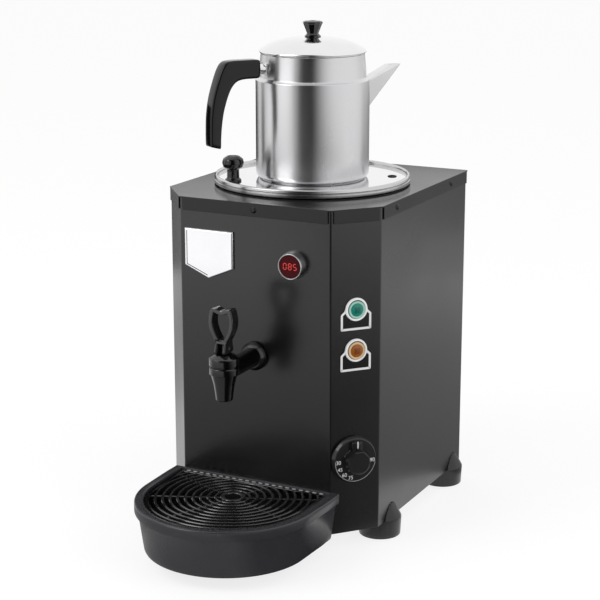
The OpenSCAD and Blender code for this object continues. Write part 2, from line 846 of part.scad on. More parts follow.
nozzle_z = tap_z - nozzle_drop;
chamber_r = valve_r - 5.5;
nozzle_waist_r = nozzle_r + 2.2;
nozzle_l = 17;
cone_l = 10;
seat_z = tap_z - 7;
body_top = tap_z + 6;
bonnet_h = 9;
dome_rise = 3;
groove = 1;
bonnet_z = body_top + groove;
bonnet_top = bonnet_z + bonnet_h + dome_rise;
cam_gap = 0.2;
pin_z = bonnet_top + pin_h + cam_gap;
washer_t = 1.5;
dome_nut_h = 8;
backnut_t = 6;
shank_l = tap_reach + casing_d / 2 - tank_forward - tank_r + 4;

module at_tap() { translate([0, tap_y, 0]) children(); }

module tap_body() {
    color([0.06, 0.06, 0.06])
    difference() {
        union() {
            at_tap() translate([0, 0, nozzle_z]) rotate_extrude() polygon([
                [0, 0], [nozzle_r, 0], [nozzle_waist_r, nozzle_l], [valve_r, nozzle_l + cone_l],
                [valve_r, body_top - nozzle_z], [0, body_top - nozzle_z]
            ]);
            translate([0, tap_y, tap_z]) rotate([-90, 0, 0])
                cylinder(r = pipe_r, h = tap_reach - washer_t);
            translate([0, tap_y, tap_z]) rotate([-90, 0, 0]) cylinder(r = shank_r, h = shank_l);
        }
        at_tap() translate([0, 0, nozzle_z - 1]) cylinder(r = nozzle_bore, h = 2 * nozzle_drop);
        at_tap() translate([0, 0, seat_z]) cylinder(r = chamber_r, h = 2 * nozzle_drop);
        at_tap() translate([0, 0, body_top]) cylinder(r = valve_r + 0.6, h = 2 * nozzle_drop);
        translate([0, tap_y, tap_z + 0.5]) rotate([-90, 0, 0]) cylinder(r = water_r, h = shank_l + 1);
    }
}

module tap_collar() {
    color([0.06, 0.06, 0.06])
    out_of_front(0, tap_z) translate([0, 0, washer_t]) difference() {
        intersection() {
            cylinder(r = valve_r, h = dome_nut_h);
            translate([0, 0, -4]) sphere(r = valve_r + 2.2);
        }
        translate([0, 0, -1]) cylinder(r = pipe_r + touch, h = 2 * dome_nut_h);
    }
}

module tap_washer() {
    color([0.1, 0.1, 0.1])
    out_of_front(0, tap_z) tube(valve_r - 1, shank_r + touch, washer_t);
}

module tap_backnut() {
    color([0.12, 0.12, 0.12])
    out_of_front(0, tap_z) translate([0, 0, -sheet - backnut_t])
        ring_nut(shank_r + 6, shank_r + touch, backnut_t);
}

module tap_bonnet() {
    color([0.06, 0.06, 0.06])
    at_tap() difference() {
        union() {
            translate([0, 0, body_top]) cylinder(r = valve_r - 1.5, h = groove + eps);
            translate([0, 0, bonnet_z]) cylinder(r = valve_r + 0.2, h = bonnet_h);
            translate([0, 0, bonnet_z + bonnet_h - eps])
                cylinder(r1 = valve_r - 0.8, r2 = valve_r - 5, h = dome_rise);
        }
        translate([0, 0, body_top - eps]) cylinder(r = chamber_r, h = groove + bonnet_h - 2);
        cylinder(r = stem_r + run_gap, h = 2 * bonnet_top);
    }
}

seat_t = 5;
seat_grip = 2;
stem_foot = seat_z + seat_grip;

module tap_seat() {
    color([0.3, 0.3, 0.3])
    at_tap() difference() {
        translate([0, 0, seat_z]) cylinder(r1 = nozzle_bore + 1.5, r2 = nozzle_bore + 2.2, h = seat_t);
        translate([0, 0, stem_foot]) cylinder(r = stem_r, h = seat_t);
    }
}

flange_seat_z = seat_z + seat_t;
flange_seat_t = 1;
stem_head = stem_r;

module tap_stem() {
    color([0.8, 0.8, 0.8])
    difference() {
        at_tap() {
            translate([0, 0, stem_foot]) cylinder(r = stem_r, h = pin_z + stem_head - stem_foot);
            translate([0, 0, flange_seat_z]) cylinder(r = stem_r + 3, h = flange_seat_t);
        }
        translate([0, tap_y, pin_z]) rotate([0, 90, 0]) cylinder(r = pin_r, h = 4 * stem_r, center = true);
    }
}

wire_r = 0.7;
spring_turns = 5;
spring_r = stem_r + 2;
spring_low = flange_seat_z + flange_seat_t + wire_r;
spring_high = bonnet_z + bonnet_h - 2 - wire_r;
turn_steps = 20;
wire_sides = 8;

// One ring of the wire's outline, at the height that its turn has reached
function wire_ring(step) =
    let (turn = 360 * step / turn_steps,
         rise = spring_low + (spring_high - spring_low) * step / (spring_turns * turn_steps))
    [for (side = [0 : wire_sides - 1])
        let (out = spring_r + wire_r * cos(360 * side / wire_sides))
        [out * cos(turn), out * sin(turn), rise + wire_r * sin(360 * side / wire_sides)]];

module tap_spring() {
    last = spring_turns * turn_steps;
    points = [for (step = [0 : last]) each wire_ring(step)];
    walls = [for (step = [0 : last - 1], side = [0 : wire_sides - 1])
        let (next = (side + 1) % wire_sides, row = step * wire_sides)
        [row + side, row + next, row + wire_sides + next, row + wire_sides + side]];
    ends = [
        [for (side = [wire_sides - 1 : -1 : 0]) side],
        [for (side = [0 : wire_sides - 1]) last * wire_sides + side]
    ];
    color("silver") at_tap() polyhedron(points = points, faces = concat(walls, ends), convexity = 6);
}

slot_gap_x = 0.5;
slot_w = 2 * (stem_r + slot_gap_x);
slot_top = norm([stem_r, stem_head]) + 0.6;
fork_top = slot_top + 2.6;

module lever_pin() {
    color("silver")
    translate([0, tap_y, pin_z]) rotate([0, 90, 0]) cylinder(r = pin_r, h = fork_w - 0.4, center = true);
}

// The cam under the pin. Its edge is shaped so that it pushes the stem up evenly as the lever tilts.
function cam_edge(tilt) =
    let (reach = pin_h + cam_rise * tilt * PI / 180)
    [reach * sin(tilt) + cam_rise * cos(tilt), -reach * cos(tilt) + cam_rise * sin(tilt)];

module fork_side() {
    edge = [for (tilt = [0 : lever_tilt / 10 : lever_tilt]) cam_edge(tilt)];
    half = concat(edge, [[lever_t / 2 + 1, slot_top], [lever_t / 2, fork_top]]);
    polygon(concat(half, [for (i = [len(half) - 1 : -1 : 0]) [-half[i][0], half[i][1]]]));
}

loop_foot = 4.6;           // height above the pin where the loop grows out of the fork
loop_foot_w = 9.6;         // width of the loop there
loop_top_w = 22;           // width of the loop at its top
widest_z = 26;             // height above the pin where the loop is widest
loop_corner = 3;           // radius of the two upper corners
loop_dip = 2.4;            // depth of the dip in the top
dip_w = 16;                // width of that dip

// Half of the loop's width at a height above the pin
function loop_side(z) = z < widest_z
    ? loop_foot_w / 2 + (lever_w - loop_foot_w) / 2 * sin(90 * (z - loop_foot) / (widest_z - loop_foot))
    : lever_w / 2 - (lever_w - loop_top_w) / 2 * (1 - cos(90 * (z - widest_z) / (lever_h - widest_z)));

// Outline of the lever seen from the front: a tulip with a shallow dip in its top
module lever_outline() {
    side = [for (i = [0 : 16]) let (z = loop_foot + (lever_h - loop_foot) * i / 16) [loop_side(z), z]];
    dip = [for (i = [1 : 11]) let (x = dip_w * (0.5 - i / 12))
        [x, lever_h - loop_dip * (1 + cos(360 * x / dip_w)) / 2]];
    offset(r = loop_corner, $fn = 32) offset(delta = -loop_corner)
        polygon(concat(side, dip, [for (i = [16 : -1 : 0]) [-side[i][0], side[i][1]]]));
}

module lever_loop() {
    translate([0, lever_t / 2, 0]) rotate([90, 0, 0]) linear_extrude(lever_t) difference() {
        lever_outline();
        offset(r = -loop_bar, $fn = 32) lever_outline();
        translate([0, fork_top - 2 - lever_w / 2]) square(lever_w, center = true);
    }
}

module tap_lever() {
    color([0.06, 0.06, 0.06])
    translate([0, tap_y, pin_z]) difference() {
        union() {
            lever_loop();
            translate([-fork_w / 2, 0, 0]) rotate([90, 0, 90]) linear_extrude(fork_w) fork_side();
        }
        translate([0, 0, slot_top - 2 * pin_h]) cube([slot_w, 4 * pin_h, 4 * pin_h], center = true);
        rotate([0, 90, 0]) cylinder(r = pin_r + run_gap, h = 2 * fork_w, center = true);
    }
}

// ---------- Drip tray ----------

grille_sink = 2;           // depth of the grille's top below the rim
recess_z = rim_z - grille_sink - grille_t;
hook_l = 8;                // reach of a tongue behind the front panel

module tray_outline(inset = 0) {
    offset(delta = -inset) hull() {
        translate([0, front_y - tray_out]) circle(r = tray_r);
        translate([-tray_half, front_y - 20]) square([2 * tray_half, 20]);
    }
}

// The tray's plan with its back edge held clear of the casing
module tray_plan(inset, back_inset = 0) {
    intersection() {
        tray_outline(inset);
        translate([-2 * tray_r, front_y - tray_gap - back_inset - 4 * tray_r])
            square([4 * tray_r, 4 * tray_r]);
    }
}

module tray_layer(z, inset, back_inset = 0) {
    translate([0, 0, z]) linear_extrude(eps) tray_plan(inset, back_inset);
}

module drip_tray() {
    band_z = rim_z - band_h;
    floor_in = tray_z + tray_wall;
    color([0.16, 0.16, 0.17]) {
        difference() {
            union() {
                translate([0, 0, band_z]) linear_extrude(band_h) tray_plan(0);
                hull() {
                    tray_layer(tray_z, tray_taper);
                    tray_layer(band_z, band_step);
                }
            }
            translate([0, 0, recess_z]) linear_extrude(band_h) tray_plan(rim_w, tray_wall);
            hull() {
                tray_layer(floor_in, tray_taper + tray_wall, tray_wall);
                tray_layer(recess_z, rim_w + tray_wall, 2 * tray_wall);
            }
        }
        for (side = [-1, 1])
            translate([side * tongue_span / 2, front_y - tray_gap - eps, tongue_z])
                translate([-tongue_w / 2, 0, -tongue_t / 2])
                    cube([tongue_w, tray_gap + sheet + hook_l, tongue_t]);
    }
}

grille_gap = 0.4;
frame_w = 5;
spoke_t = grille_t - 1.5;
drain_depth = 1;

module grille_plan() { tray_plan(rim_w + grille_gap, tray_wall + grille_gap); }

module ring_bar(inner) { tube(inner + ring_w, inner, grille_t); }

module drip_grille() {
    rings = floor((tray_out + tray_r) / ring_pitch);
    drain_pitch = 2 * (tray_half - rim_w - frame_w) / drains;
    color([0.05, 0.05, 0.05])
    translate([0, 0, recess_z]) difference() {
        union() {
            linear_extrude(grille_t) difference() {
                grille_plan();
                offset(delta = -frame_w) grille_plan();
            }
            intersection() {
                linear_extrude(grille_t) grille_plan();
                translate([0, front_y - ring_out, 0]) {
                    tube(grille_hole_r + eye_w, grille_hole_r, grille_t);
                    for (ring = [1 : rings - 1])
                        ring_bar(grille_hole_r + ring * ring_pitch);
                    for (spoke = [0 : spokes - 1]) rotate([0, 0, (spoke + 0.5) * 360 / spokes])
                        translate([grille_hole_r + ring_w / 2, -ring_w / 2, 0])
                            cube([2 * tray_r, ring_w, spoke_t]);
                }
            }
        }
        for (drain = [0 : drains - 1])
            translate([(drain - (drains - 1) / 2) * drain_pitch, front_y - tray_wall - tray_gap, grille_t])
                cube([drain_pitch * 0.45, 2 * frame_w, 2 * drain_depth], center = true);
    }
}

// ---------- Wiring and gland ----------

block = [20, 50, 12];      // the terminal block's width, length and height
pole_w = 8;
pole_h = 7;
poles = 4;
block_in = [30, 70];       // from the left side and the back of the casing to the block's corner

module terminal_block() {
    color([0.88, 0.86, 0.8])
    translate([-casing_w / 2 + block_in[0], back_y - block_in[1], floor_z + sheet]) {
        cube(block);
        for (pole = [0 : poles - 1])
            translate([4, (pole + 0.5) * block[1] / poles - pole_w / 2, block[2] - eps])
                cube([block[0] - pole_w, pole_w, pole_h]);
    }
}

gland_hex_h = 6;
gland_cap_r = gland_r + 1.5;
gland_taper = 4;
gland_in = 12;             // reach of the gland's thread inside the casing
cord_hole_r = 4;
gland_nut_h = 5;

module gland_place() { translate([gland_x, back_y, gland_z]) rotate([-90, 0, 0]) children(); }

module cable_gland() {
    color([0.08, 0.08, 0.08])
    gland_place() difference() {
        union() {
            translate([0, 0, -gland_in]) cylinder(r = gland_r, h = gland_in + sheet + 1);
            translate([0, 0, sheet]) cylinder(r = gland_r + 3, h = gland_hex_h, $fn = 6);
            translate([0, 0, sheet + gland_hex_h - eps])
                cylinder(r = gland_cap_r, h = gland_out - sheet - gland_hex_h - gland_taper);
            translate([0, 0, gland_out - gland_taper - 2 * eps])
                cylinder(r1 = gland_cap_r, r2 = gland_r - 3, h = gland_taper + 2 * eps);
        }
        translate([0, 0, -2 * gland_in]) cylinder(r = cord_hole_r, h = 2 * gland_in + 2 * gland_out);
    }
}

module gland_nut() {
    color([0.08, 0.08, 0.08])
    gland_place() translate([0, 0, -gland_nut_h]) ring_nut(gland_r + 4, gland_r + touch, gland_nut_h);
}

// ---------- Urn lid ----------

rim_in = lid_r - rim_band;
rim_ledge = 1.5;
plate_r = rim_in + rim_ledge;

module at_lid_knob() {
    at_tank() rotate([0, 0, lid_knob_turn]) translate([lid_r - lid_knob_in, 0, 0]) children();
}

module lid_plate() {
    color([0.93, 0.93, 0.94])
    difference() {
        at_tank() translate([0, 0, plate_z - lid_sheet]) cylinder(r = plate_r, h = lid_sheet);
        at_tank() rotate([0, 0, steam_turn]) translate([lid_r - steam_in, 0, 0])
            cylinder(r = steam_r, h = 2 * plate_z);
        at_lid_knob() cylinder(r = screw_r + touch, h = 2 * plate_z);
    }
}

module lid_rim() {
    bead_r = rim_band / 2;
    skirt_in = collar_r + 0.5;
    color([0.8, 0.8, 0.82])
    at_tank() rotate_extrude() difference() {
        union() {
            translate([rim_in, collar_z]) square([rim_band, rim_h - bead_r]);
            translate([rim_in + bead_r, lid_z - bead_r]) circle(r = bead_r);
            translate([skirt_in, collar_z - rim_skirt]) square([lid_r - skirt_in, rim_skirt + eps]);
        }
        translate([0, plate_z - lid_sheet]) square([plate_r + touch, lid_sheet + touch]);
    }
}

// Outline of a mushroom knob: foot, waist and round head
function mushroom(h, head, waist, base) = concat(
    [[0, 0], [base, 0], [base, 1.5], [waist, 4], [waist, h * 0.46], [head - 2, h * 0.5]],
    [for (a = [-40 : 13 : 90]) [head * cos(a), h * 0.72 + h * 0.28 * sin(a)]]
);

lid_knob_waist = 6.3;
lid_knob_foot = 8.7;

module lid_knob() {
    color([0.08, 0.08, 0.08])
    at_lid_knob() translate([0, 0, plate_z]) difference() {
        rotate_extrude() polygon(mushroom(lid_knob_h, lid_knob_r, lid_knob_waist, lid_knob_foot));
        translate([0, 0, -eps]) cylinder(r = screw_r + touch, h = lid_knob_h / 2);
    }
}

module lid_knob_screw() {
    color("silver")
    at_lid_knob() translate([0, 0, plate_z - lid_sheet]) {
        translate([0, 0, -screw_r]) cylinder(r = 2 * screw_r, h = screw_r);
        cylinder(r = screw_r, h = lid_sheet + lid_knob_h / 2 - 1);
    }
}

// ---------- Teapot ----------

base_r = pot_r - 5.5;
base_bend = 12;
step_h = 3;
neck_low_r = neck_r + 2.2;
shoulder_h = pot_h - neck_h;
spout_h = shoulder_h + spout_rise;
spout_root_h = shoulder_h - spout_root_drop;
spout_low = spout_root_h - spout_root_l;
arm_h = pot_h - arm_drop;

// Outline of the teapot's wall, from the axis along the floor and up to the mouth
function pot_outline(t) = concat(
    [[0, t], [base_r - t / 2, t]],
    [for (a = [15 : 15 : 90])
        [base_r + (pot_r - base_r) * sin(a) - t, base_bend * (1 - cos(a)) + t * cos(a)]],
    [[pot_r - t, shoulder_h], [neck_low_r - t, shoulder_h + step_h], [neck_r - t, pot_h]]
);

module pot_body() {
    color([0.78, 0.78, 0.79])
    at_pot() {
        difference() {
            rotate_extrude() polygon(concat(pot_outline(0), [[0, pot_h]]));
            rotate_extrude()
                polygon(concat(pot_outline(pot_wall), [[neck_r - pot_wall, pot_h + 1], [0, pot_h + 1]]));
            spout_holes();
        }
        translate([0, 0, pot_h - 2]) tube(neck_r + bead, neck_r - pot_wall, 2);
    }
}

tea_hole_r = 3;
tea_hole_pitch = 8;

// Three holes behind the spout let the tea out and hold the leaves back
module spout_holes() {
    for (i = [1 : 3])
        translate([0, 0, spout_root_h - i * tea_hole_pitch + tea_hole_r]) rotate([0, 90, 0])
            cylinder(r = tea_hole_r, h = pot_r + spout_root_w);
}

spout_root = pot_r - 5;
spout_mouth = 15.5;
lip_w = 2.2;
lip_drop = 3;

// The outside of the teapot's wall with a little air around it, to trim what is welded on
module pot_envelope() {
    rotate_extrude() polygon([
        [0, -1], [pot_r + touch, -1], [pot_r + touch, shoulder_h], [neck_low_r + touch, shoulder_h + step_h],
        [neck_r + touch, pot_h + 1], [0, pot_h + 1]
    ]);
}

// A wedge with a flat top and a ridge below, from the body to the lip; the root edge is at from
module spout_wedge(from, inset) {
    root_w = spout_root_w / 2 - inset;
    tip_w = spout_tip_w / 2 - inset;
    lip = spout_out - 2 * inset;
    top = spout_h + (inset > 0 ? eps : 0);
    hull() polyhedron(
        points = [
            [from, -root_w, spout_root_h - inset], [from, root_w, spout_root_h - inset],
            [from, 0, spout_low + 2.5 * inset],
            [spout_out - spout_mouth + inset, -tip_w, top], [spout_out - spout_mouth + inset, tip_w, top],
            [lip, -lip_w + inset, top], [lip, lip_w - inset, top],
            [lip - 1, 0, spout_h - lip_drop + inset]
        ],
        faces = [[0, 1, 2], [3, 4, 5], [4, 6, 5], [5, 6, 7], [0, 2, 7]]
    );
}

module pot_spout() {
    color([0.76, 0.76, 0.78])
    at_pot() difference() {
        spout_wedge(spout_root, 0);
        spout_wedge(spout_root - 1, pot_wall);
        pot_envelope();
    }
}

bracket_r = 6;
bracket_h = arm_h - 1;
bracket_out = 64;

module pot_bracket() {
    color([0.72, 0.72, 0.74])
    at_pot() rotate([0, 0, 180]) difference() {
        union() {
            translate([neck_r - 3, -bracket_r, bracket_h - bracket_r])
                cube([5.5, 2 * bracket_r, 2 * bracket_r]);
            translate([neck_r - 2, 0, bracket_h]) rotate([0, 90, 0])
                cylinder(r = bracket_r - 0.5, h = bracket_out - neck_r + 2);
        }
        pot_envelope();
        translate([0, 0, bracket_h]) rotate([0, 90, 0])
            cylinder(r = handle_screw_r + touch, h = 2 * grip_out);
    }
}

handle_screw_r = 2;
handle_screw_in = 11;      // how far the screw goes into the handle
arm_r = 9.7;
handle_cut = 78.5;         // from the arm down to the sloping end of the grip
cut_slope = 14;
handle_edge = 2;           // width of the step along the handle's edges

// Stations of the handle in its own plane: distance from the axis, height, radius
handle_stations = [
    [grip_out - 17.5, arm_h, arm_r], [grip_out - 9.5, arm_h - 15.5, 8.9],
    [grip_out - 1, arm_h - 43, 7.4], [grip_out, arm_h - 84, 6.8]
];

module handle_shape(grow = 0) {
    difference() {
        union() {
            translate([bracket_out, arm_h - arm_r - grow])
                square([handle_stations[0][0] - bracket_out, 2 * arm_r + 2 * grow]);
            for (i = [0 : len(handle_stations) - 2]) hull() {
                translate([handle_stations[i][0], handle_stations[i][1]])
                    circle(r = handle_stations[i][2] + grow, $fn = 48);
                translate([handle_stations[i + 1][0], handle_stations[i + 1][1]])
                    circle(r = handle_stations[i + 1][2] + grow, $fn = 48);
            }
        }
        translate([0, -pot_h]) square([bracket_out, 3 * pot_h]);
        translate([grip_out, arm_h - handle_cut]) rotate(cut_slope) translate([-handle_t * 2, -2 * handle_t])
            square([4 * handle_t, 2 * handle_t]);
    }
}

module pot_handle() {
    color([0.07, 0.07, 0.07])
    at_pot() rotate([0, 0, 180]) difference() {
        union() {
            translate([0, handle_t / 2, 0]) rotate([90, 0, 0])
                linear_extrude(handle_t) handle_shape(-handle_edge);
            translate([0, handle_t / 2 - handle_edge, 0]) rotate([90, 0, 0])
                linear_extrude(handle_t - 2 * handle_edge) handle_shape();
        }
        translate([bracket_out - 1, 0, bracket_h]) rotate([0, 90, 0])
            cylinder(r = handle_screw_r + touch, h = handle_screw_in + 3);
    }
}

module pot_handle_screw() {
    color("silver")
    at_pot() rotate([0, 0, 180]) translate([neck_low_r + touch, 0, bracket_h]) rotate([0, 90, 0])
        cylinder(r = handle_screw_r, h = bracket_out - neck_low_r + handle_screw_in);
}

bead = 0.8;
lid_edge_r = neck_r + 2;
lid_edge_drop = 0.5;
lid_edge_rise = 1.5;
dome_power = 2.9;
lid_skirt_r = neck_r - pot_wall - 0.3;
lid_skirt_drop = 7;
knob_stud_r = 2;
knob_stud_l = 4;
pot_knob_h = 16.7;
pot_knob_r = 10.7;
pot_knob_waist = 6.3;
pot_knob_foot = 8.5;

// Points along the top of the teapot lid, from the edge to the axis
function lid_dome(edge, low, rise) =
    [for (i = [12 : -1 : 0]) [edge * i / 12, low + rise * (1 - pow(i / 12, dome_power))]];

module pot_lid() {
    t = pot_wall;
    inner = lid_skirt_r - 0.8;
    color([0.8, 0.8, 0.81])
    at_pot() translate([0, 0, pot_h]) difference() {
        rotate_extrude() polygon(concat(
            [
                [0, -lid_skirt_drop], [lid_skirt_r, -lid_skirt_drop], [lid_skirt_r, 0],
                [neck_r + bead + 0.4, 0], [neck_r + bead + 0.4, -lid_edge_drop], [lid_edge_r, -lid_edge_drop]
            ],
            lid_dome(lid_edge_r, lid_edge_rise, dome_h)
        ));
        rotate_extrude() polygon(concat(
            [[0, -lid_skirt_drop - 1], [inner, -lid_skirt_drop - 1]],
            lid_dome(inner, lid_edge_rise - t, dome_h)
        ));
        translate([0, 0, dome_h / 2]) cylinder(r = knob_stud_r, h = dome_h);
    }
}

module pot_lid_knob() {
    color([0.06, 0.06, 0.06])
    at_pot() translate([0, 0, pot_h + lid_edge_rise + dome_h]) {
        rotate_extrude($fn = 10) polygon([
            [0, 0], [pot_knob_foot, 0], [pot_knob_foot, 1.2], [pot_knob_waist, 2.6], [pot_knob_waist, 4.5],
            [pot_knob_r - 0.3, pot_knob_h * 0.72], [pot_knob_r, pot_knob_h * 0.86],
            [pot_knob_r - 1.7, pot_knob_h * 0.97], [0, pot_knob_h]
        ]);
        translate([0, 0, -knob_stud_l]) cylinder(r = knob_stud_r, h = knob_stud_l + eps);
    }
}

// ---------- Build ----------

casing_wrap();
rear_panel();
top_cover();
base_plate();
foot_front_left();
foot_front_right();
foot_rear_left();
foot_rear_right();
foot_screws();
cover_screws();
rear_screws();
tank();
tank_stand();
tank_collar();
insulation_jacket();
heating_element();
heater_flange();
heater_gasket();
limit_thermostat();
thermostat_body();
thermostat_bulb();
thermometer_bezel();
thermometer_display();
thermometer_nut();
green_lamp_bezel();
green_lamp_lens();
green_lamp_plate();
amber_lamp_bezel();
amber_lamp_lens();
amber_lamp_plate();
lamp_nuts();
badge_plate();
tap_body();
tap_collar();
tap_washer();
tap_backnut();
tap_bonnet();
terminal_block();
cable_gland();
gland_nut();
tap_stem();
tap_seat();
tap_spring();
lever_pin();
tap_lever();
thermostat_knob();
thermostat_shaft();
lid_plate();
lid_rim();
lid_knob();
lid_knob_screw();
drip_tray();
drip_grille();
pot_body();
pot_spout();
pot_bracket();
pot_handle();
pot_handle_screw();
pot_lid();
pot_lid_knob();
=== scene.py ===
"""Looks of the hot water urn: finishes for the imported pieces, and detailed pieces in place of some."""

import json
import math

import bmesh
import bpy
from mathutils import Matrix, Vector


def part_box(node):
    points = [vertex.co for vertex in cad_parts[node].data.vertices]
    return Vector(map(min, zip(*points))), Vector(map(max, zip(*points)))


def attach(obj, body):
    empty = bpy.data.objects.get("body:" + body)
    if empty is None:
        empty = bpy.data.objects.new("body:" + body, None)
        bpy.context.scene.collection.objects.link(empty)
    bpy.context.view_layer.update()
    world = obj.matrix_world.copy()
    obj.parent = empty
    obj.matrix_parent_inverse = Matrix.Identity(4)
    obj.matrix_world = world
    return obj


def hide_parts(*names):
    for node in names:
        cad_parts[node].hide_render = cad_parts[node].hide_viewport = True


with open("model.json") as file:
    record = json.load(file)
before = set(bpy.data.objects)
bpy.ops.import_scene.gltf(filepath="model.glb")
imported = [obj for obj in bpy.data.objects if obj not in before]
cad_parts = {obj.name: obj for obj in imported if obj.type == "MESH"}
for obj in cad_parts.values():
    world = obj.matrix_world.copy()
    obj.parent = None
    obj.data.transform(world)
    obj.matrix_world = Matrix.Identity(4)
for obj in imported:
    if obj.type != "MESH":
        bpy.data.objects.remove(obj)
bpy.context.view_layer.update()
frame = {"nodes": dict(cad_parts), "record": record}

NODES = frame["nodes"]
MM = 0.001

# ---------- Places, worked out from the frame, in millimetres unless said otherwise ----------

X = 0
Z = 2
CORNERS = ((-1, -1), (1, -1), (1, 1), (-1, 1))
UP = Vector((0, 0, 1))
OUT_OF_FRONT = Vector((0, -1, 0))


def box_mm(node):
    low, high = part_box(node)
    return low / MM, high / MM


def middle(node):
    low, high = box_mm(node)
    return (low + high) / 2


def half_size(node, axis=X):
    low, high = box_mm(node)
    return (high[axis] - low[axis]) / 2


def joint_of(name):
    return next(joint for joint in frame["record"]["behaviour"]["joints"] if joint["name"] == name)


FRONT = box_mm("casing_wrap")[0].y
TANK_Y = middle("tank_collar").y
DIAL_PLACE = Vector(joint_of("thermostat_turn")["pos_m"]) / MM
CHAMFER_OUT = -Vector(joint_of("thermostat_turn")["axis"])


def stand_at(place, turn=0.0):
    """A frame that stands at a place in millimetres, turned about Z in degrees."""
    return Matrix.Translation(Vector(place) * MM) @ Matrix.Rotation(math.radians(turn), 4, "Z")


def facing(place, out):
    """A frame at a place in millimetres whose Z points out of a wall, with Y up."""
    matrix = Matrix((UP.cross(out), UP, out)).transposed().to_4x4()
    matrix.translation = Vector(place) * MM
    return matrix


def shift(x, y, z):
    """A move in millimetres."""
    return Matrix.Translation(Vector((x, y, z)) * MM)


def on_chamfer(node):
    """The frame on the chamfer's face that lies under the middle of a node."""
    centre = middle(node)
    return facing(centre - CHAMFER_OUT * (centre - DIAL_PLACE).dot(CHAMFER_OUT), CHAMFER_OUT)


# ---------- Camera ----------

CAMERA_PLACE = (0.79592, -1.55311, 0.68999)     # metres
CAMERA_DOWN = 14.336                            # degrees under the horizon
CAMERA_TURN = 26.636
CAMERA_LENS = 102.59
SENSOR_WIDTH = 36


def make_camera():
    camera = bpy.data.objects.new("camera", bpy.data.cameras.new("camera"))
    bpy.context.scene.collection.objects.link(camera)
    camera.location = CAMERA_PLACE
    camera.rotation_euler = (math.radians(90 - CAMERA_DOWN), 0, math.radians(CAMERA_TURN))
    camera.data.lens = CAMERA_LENS
    camera.data.sensor_width = SENSOR_WIDTH
    bpy.context.scene.camera = camera


# ---------- Studio, in metres ----------

WHITE = (1, 1, 1, 1)
AMBIENT = 0.62
FLOOR_GLOW = 0.72           # share of the glow in the floor that a camera or a reflection sees
GLOW_STRENGTH = 1.1
FLOOR_HALF = 40.0
FLOOR_ROUGHNESS = 0.9
AIM_HEIGHT = 0.25           # height on the object that the lamps point at


def link(tree, start, end):
    tree.links.new(start, end)


def seen_rays(tree):
    """A factor that is 1 for camera, glossy and transmission rays."""
    path = tree.nodes.new("ShaderNodeLightPath")
    total = path.outputs["Is Camera Ray"]
    for ray in ("Is Glossy Ray", "Is Transmission Ray"):
        larger = tree.nodes.new("ShaderNodeMath")
        larger.operation = "MAXIMUM"
        link(tree, total, larger.inputs[0])
        link(tree, path.outputs[ray], larger.inputs[1])
        total = larger.outputs[0]
    return total


def mix_into(tree, factor, first, second, output):
    """The output shows the first shader where the factor is 0 and the second where it is 1."""
    mix = tree.nodes.new("ShaderNodeMixShader")
    link(tree, factor, mix.inputs[0])
    link(tree, first.outputs[0], mix.inputs[1])
    link(tree, second.outputs[0], mix.inputs[2])
    link(tree, mix.outputs[0], tree.nodes[output].inputs["Surface"])


def glowing(tree, color, strength=1.0):
    glow = tree.nodes.new("ShaderNodeEmission")
    glow.inputs["Color"].default_value = color
    glow.inputs["Strength"].default_value = strength
    return glow


def make_world():
    world = bpy.data.worlds.new("studio")
    world.use_nodes = True
    bpy.context.scene.world = world
    tree = world.node_tree
    seen = tree.nodes["Background"]
    seen.inputs["Color"].default_value = WHITE
    lit = tree.nodes.new("ShaderNodeBackground")
    lit.inputs["Color"].default_value = WHITE
    lit.inputs["Strength"].default_value = AMBIENT
    mix_into(tree, seen_rays(tree), lit, seen, "World Output")


def floor_material():
    material = bpy.data.materials.new("studio_floor")
    material.use_nodes = True
    tree = material.node_tree
    plain = tree.nodes["Principled BSDF"]
    plain.inputs["Base Color"].default_value = WHITE
    plain.inputs["Roughness"].default_value = FLOOR_ROUGHNESS
    plain.inputs["Specular IOR Level"].default_value = 0
    share = tree.nodes.new("ShaderNodeMath")
    share.operation = "MULTIPLY"
    link(tree, seen_rays(tree), share.inputs[0])
    share.inputs[1].default_value = FLOOR_GLOW
    mix_into(tree, share.outputs[0], plain, glowing(tree, WHITE, GLOW_STRENGTH), "Material Output")
    return material


def add_to_scene(name, mesh):
    thing = bpy.data.objects.new(name, mesh)
    bpy.context.scene.collection.objects.link(thing)
    return thing


def make_floor():
    mesh = bpy.data.meshes.new("floor")
    corners = [(x * FLOOR_HALF, y * FLOOR_HALF, 0) for x, y in CORNERS]
    mesh.from_pydata(corners, [], [(0, 1, 2, 3)])
    mesh.materials.append(floor_material())
    add_to_scene("floor", mesh)


def area_light(name, place, size, power, mirrored):
    """A square lamp that points at the object. Reflections show it only if it is mirrored."""
    light = bpy.data.lights.new(name, "AREA")
    light.size = size
    light.energy = power
    lamp = add_to_scene(name, light)
    lamp.location = place
    aim = Vector((0, TANK_Y * MM, AIM_HEIGHT)) - lamp.location
    lamp.rotation_euler = aim.to_track_quat("-Z", "Y").to_euler()
    lamp.visible_glossy = mirrored


def fade_of(tree, value, stops):
    """How solid a card is along one of its directions, from pairs of (position, share)."""
    ramp = tree.nodes.new("ShaderNodeValToRGB")
    elements = ramp.color_ramp.elements
    while len(elements) < len(stops):
        elements.new(0.5)
    for element, (position, share) in zip(elements, stops):
        element.position = position
        element.color = (share, share, share, 1)
    link(tree, value, ramp.inputs[0])
    return ramp.outputs[0]


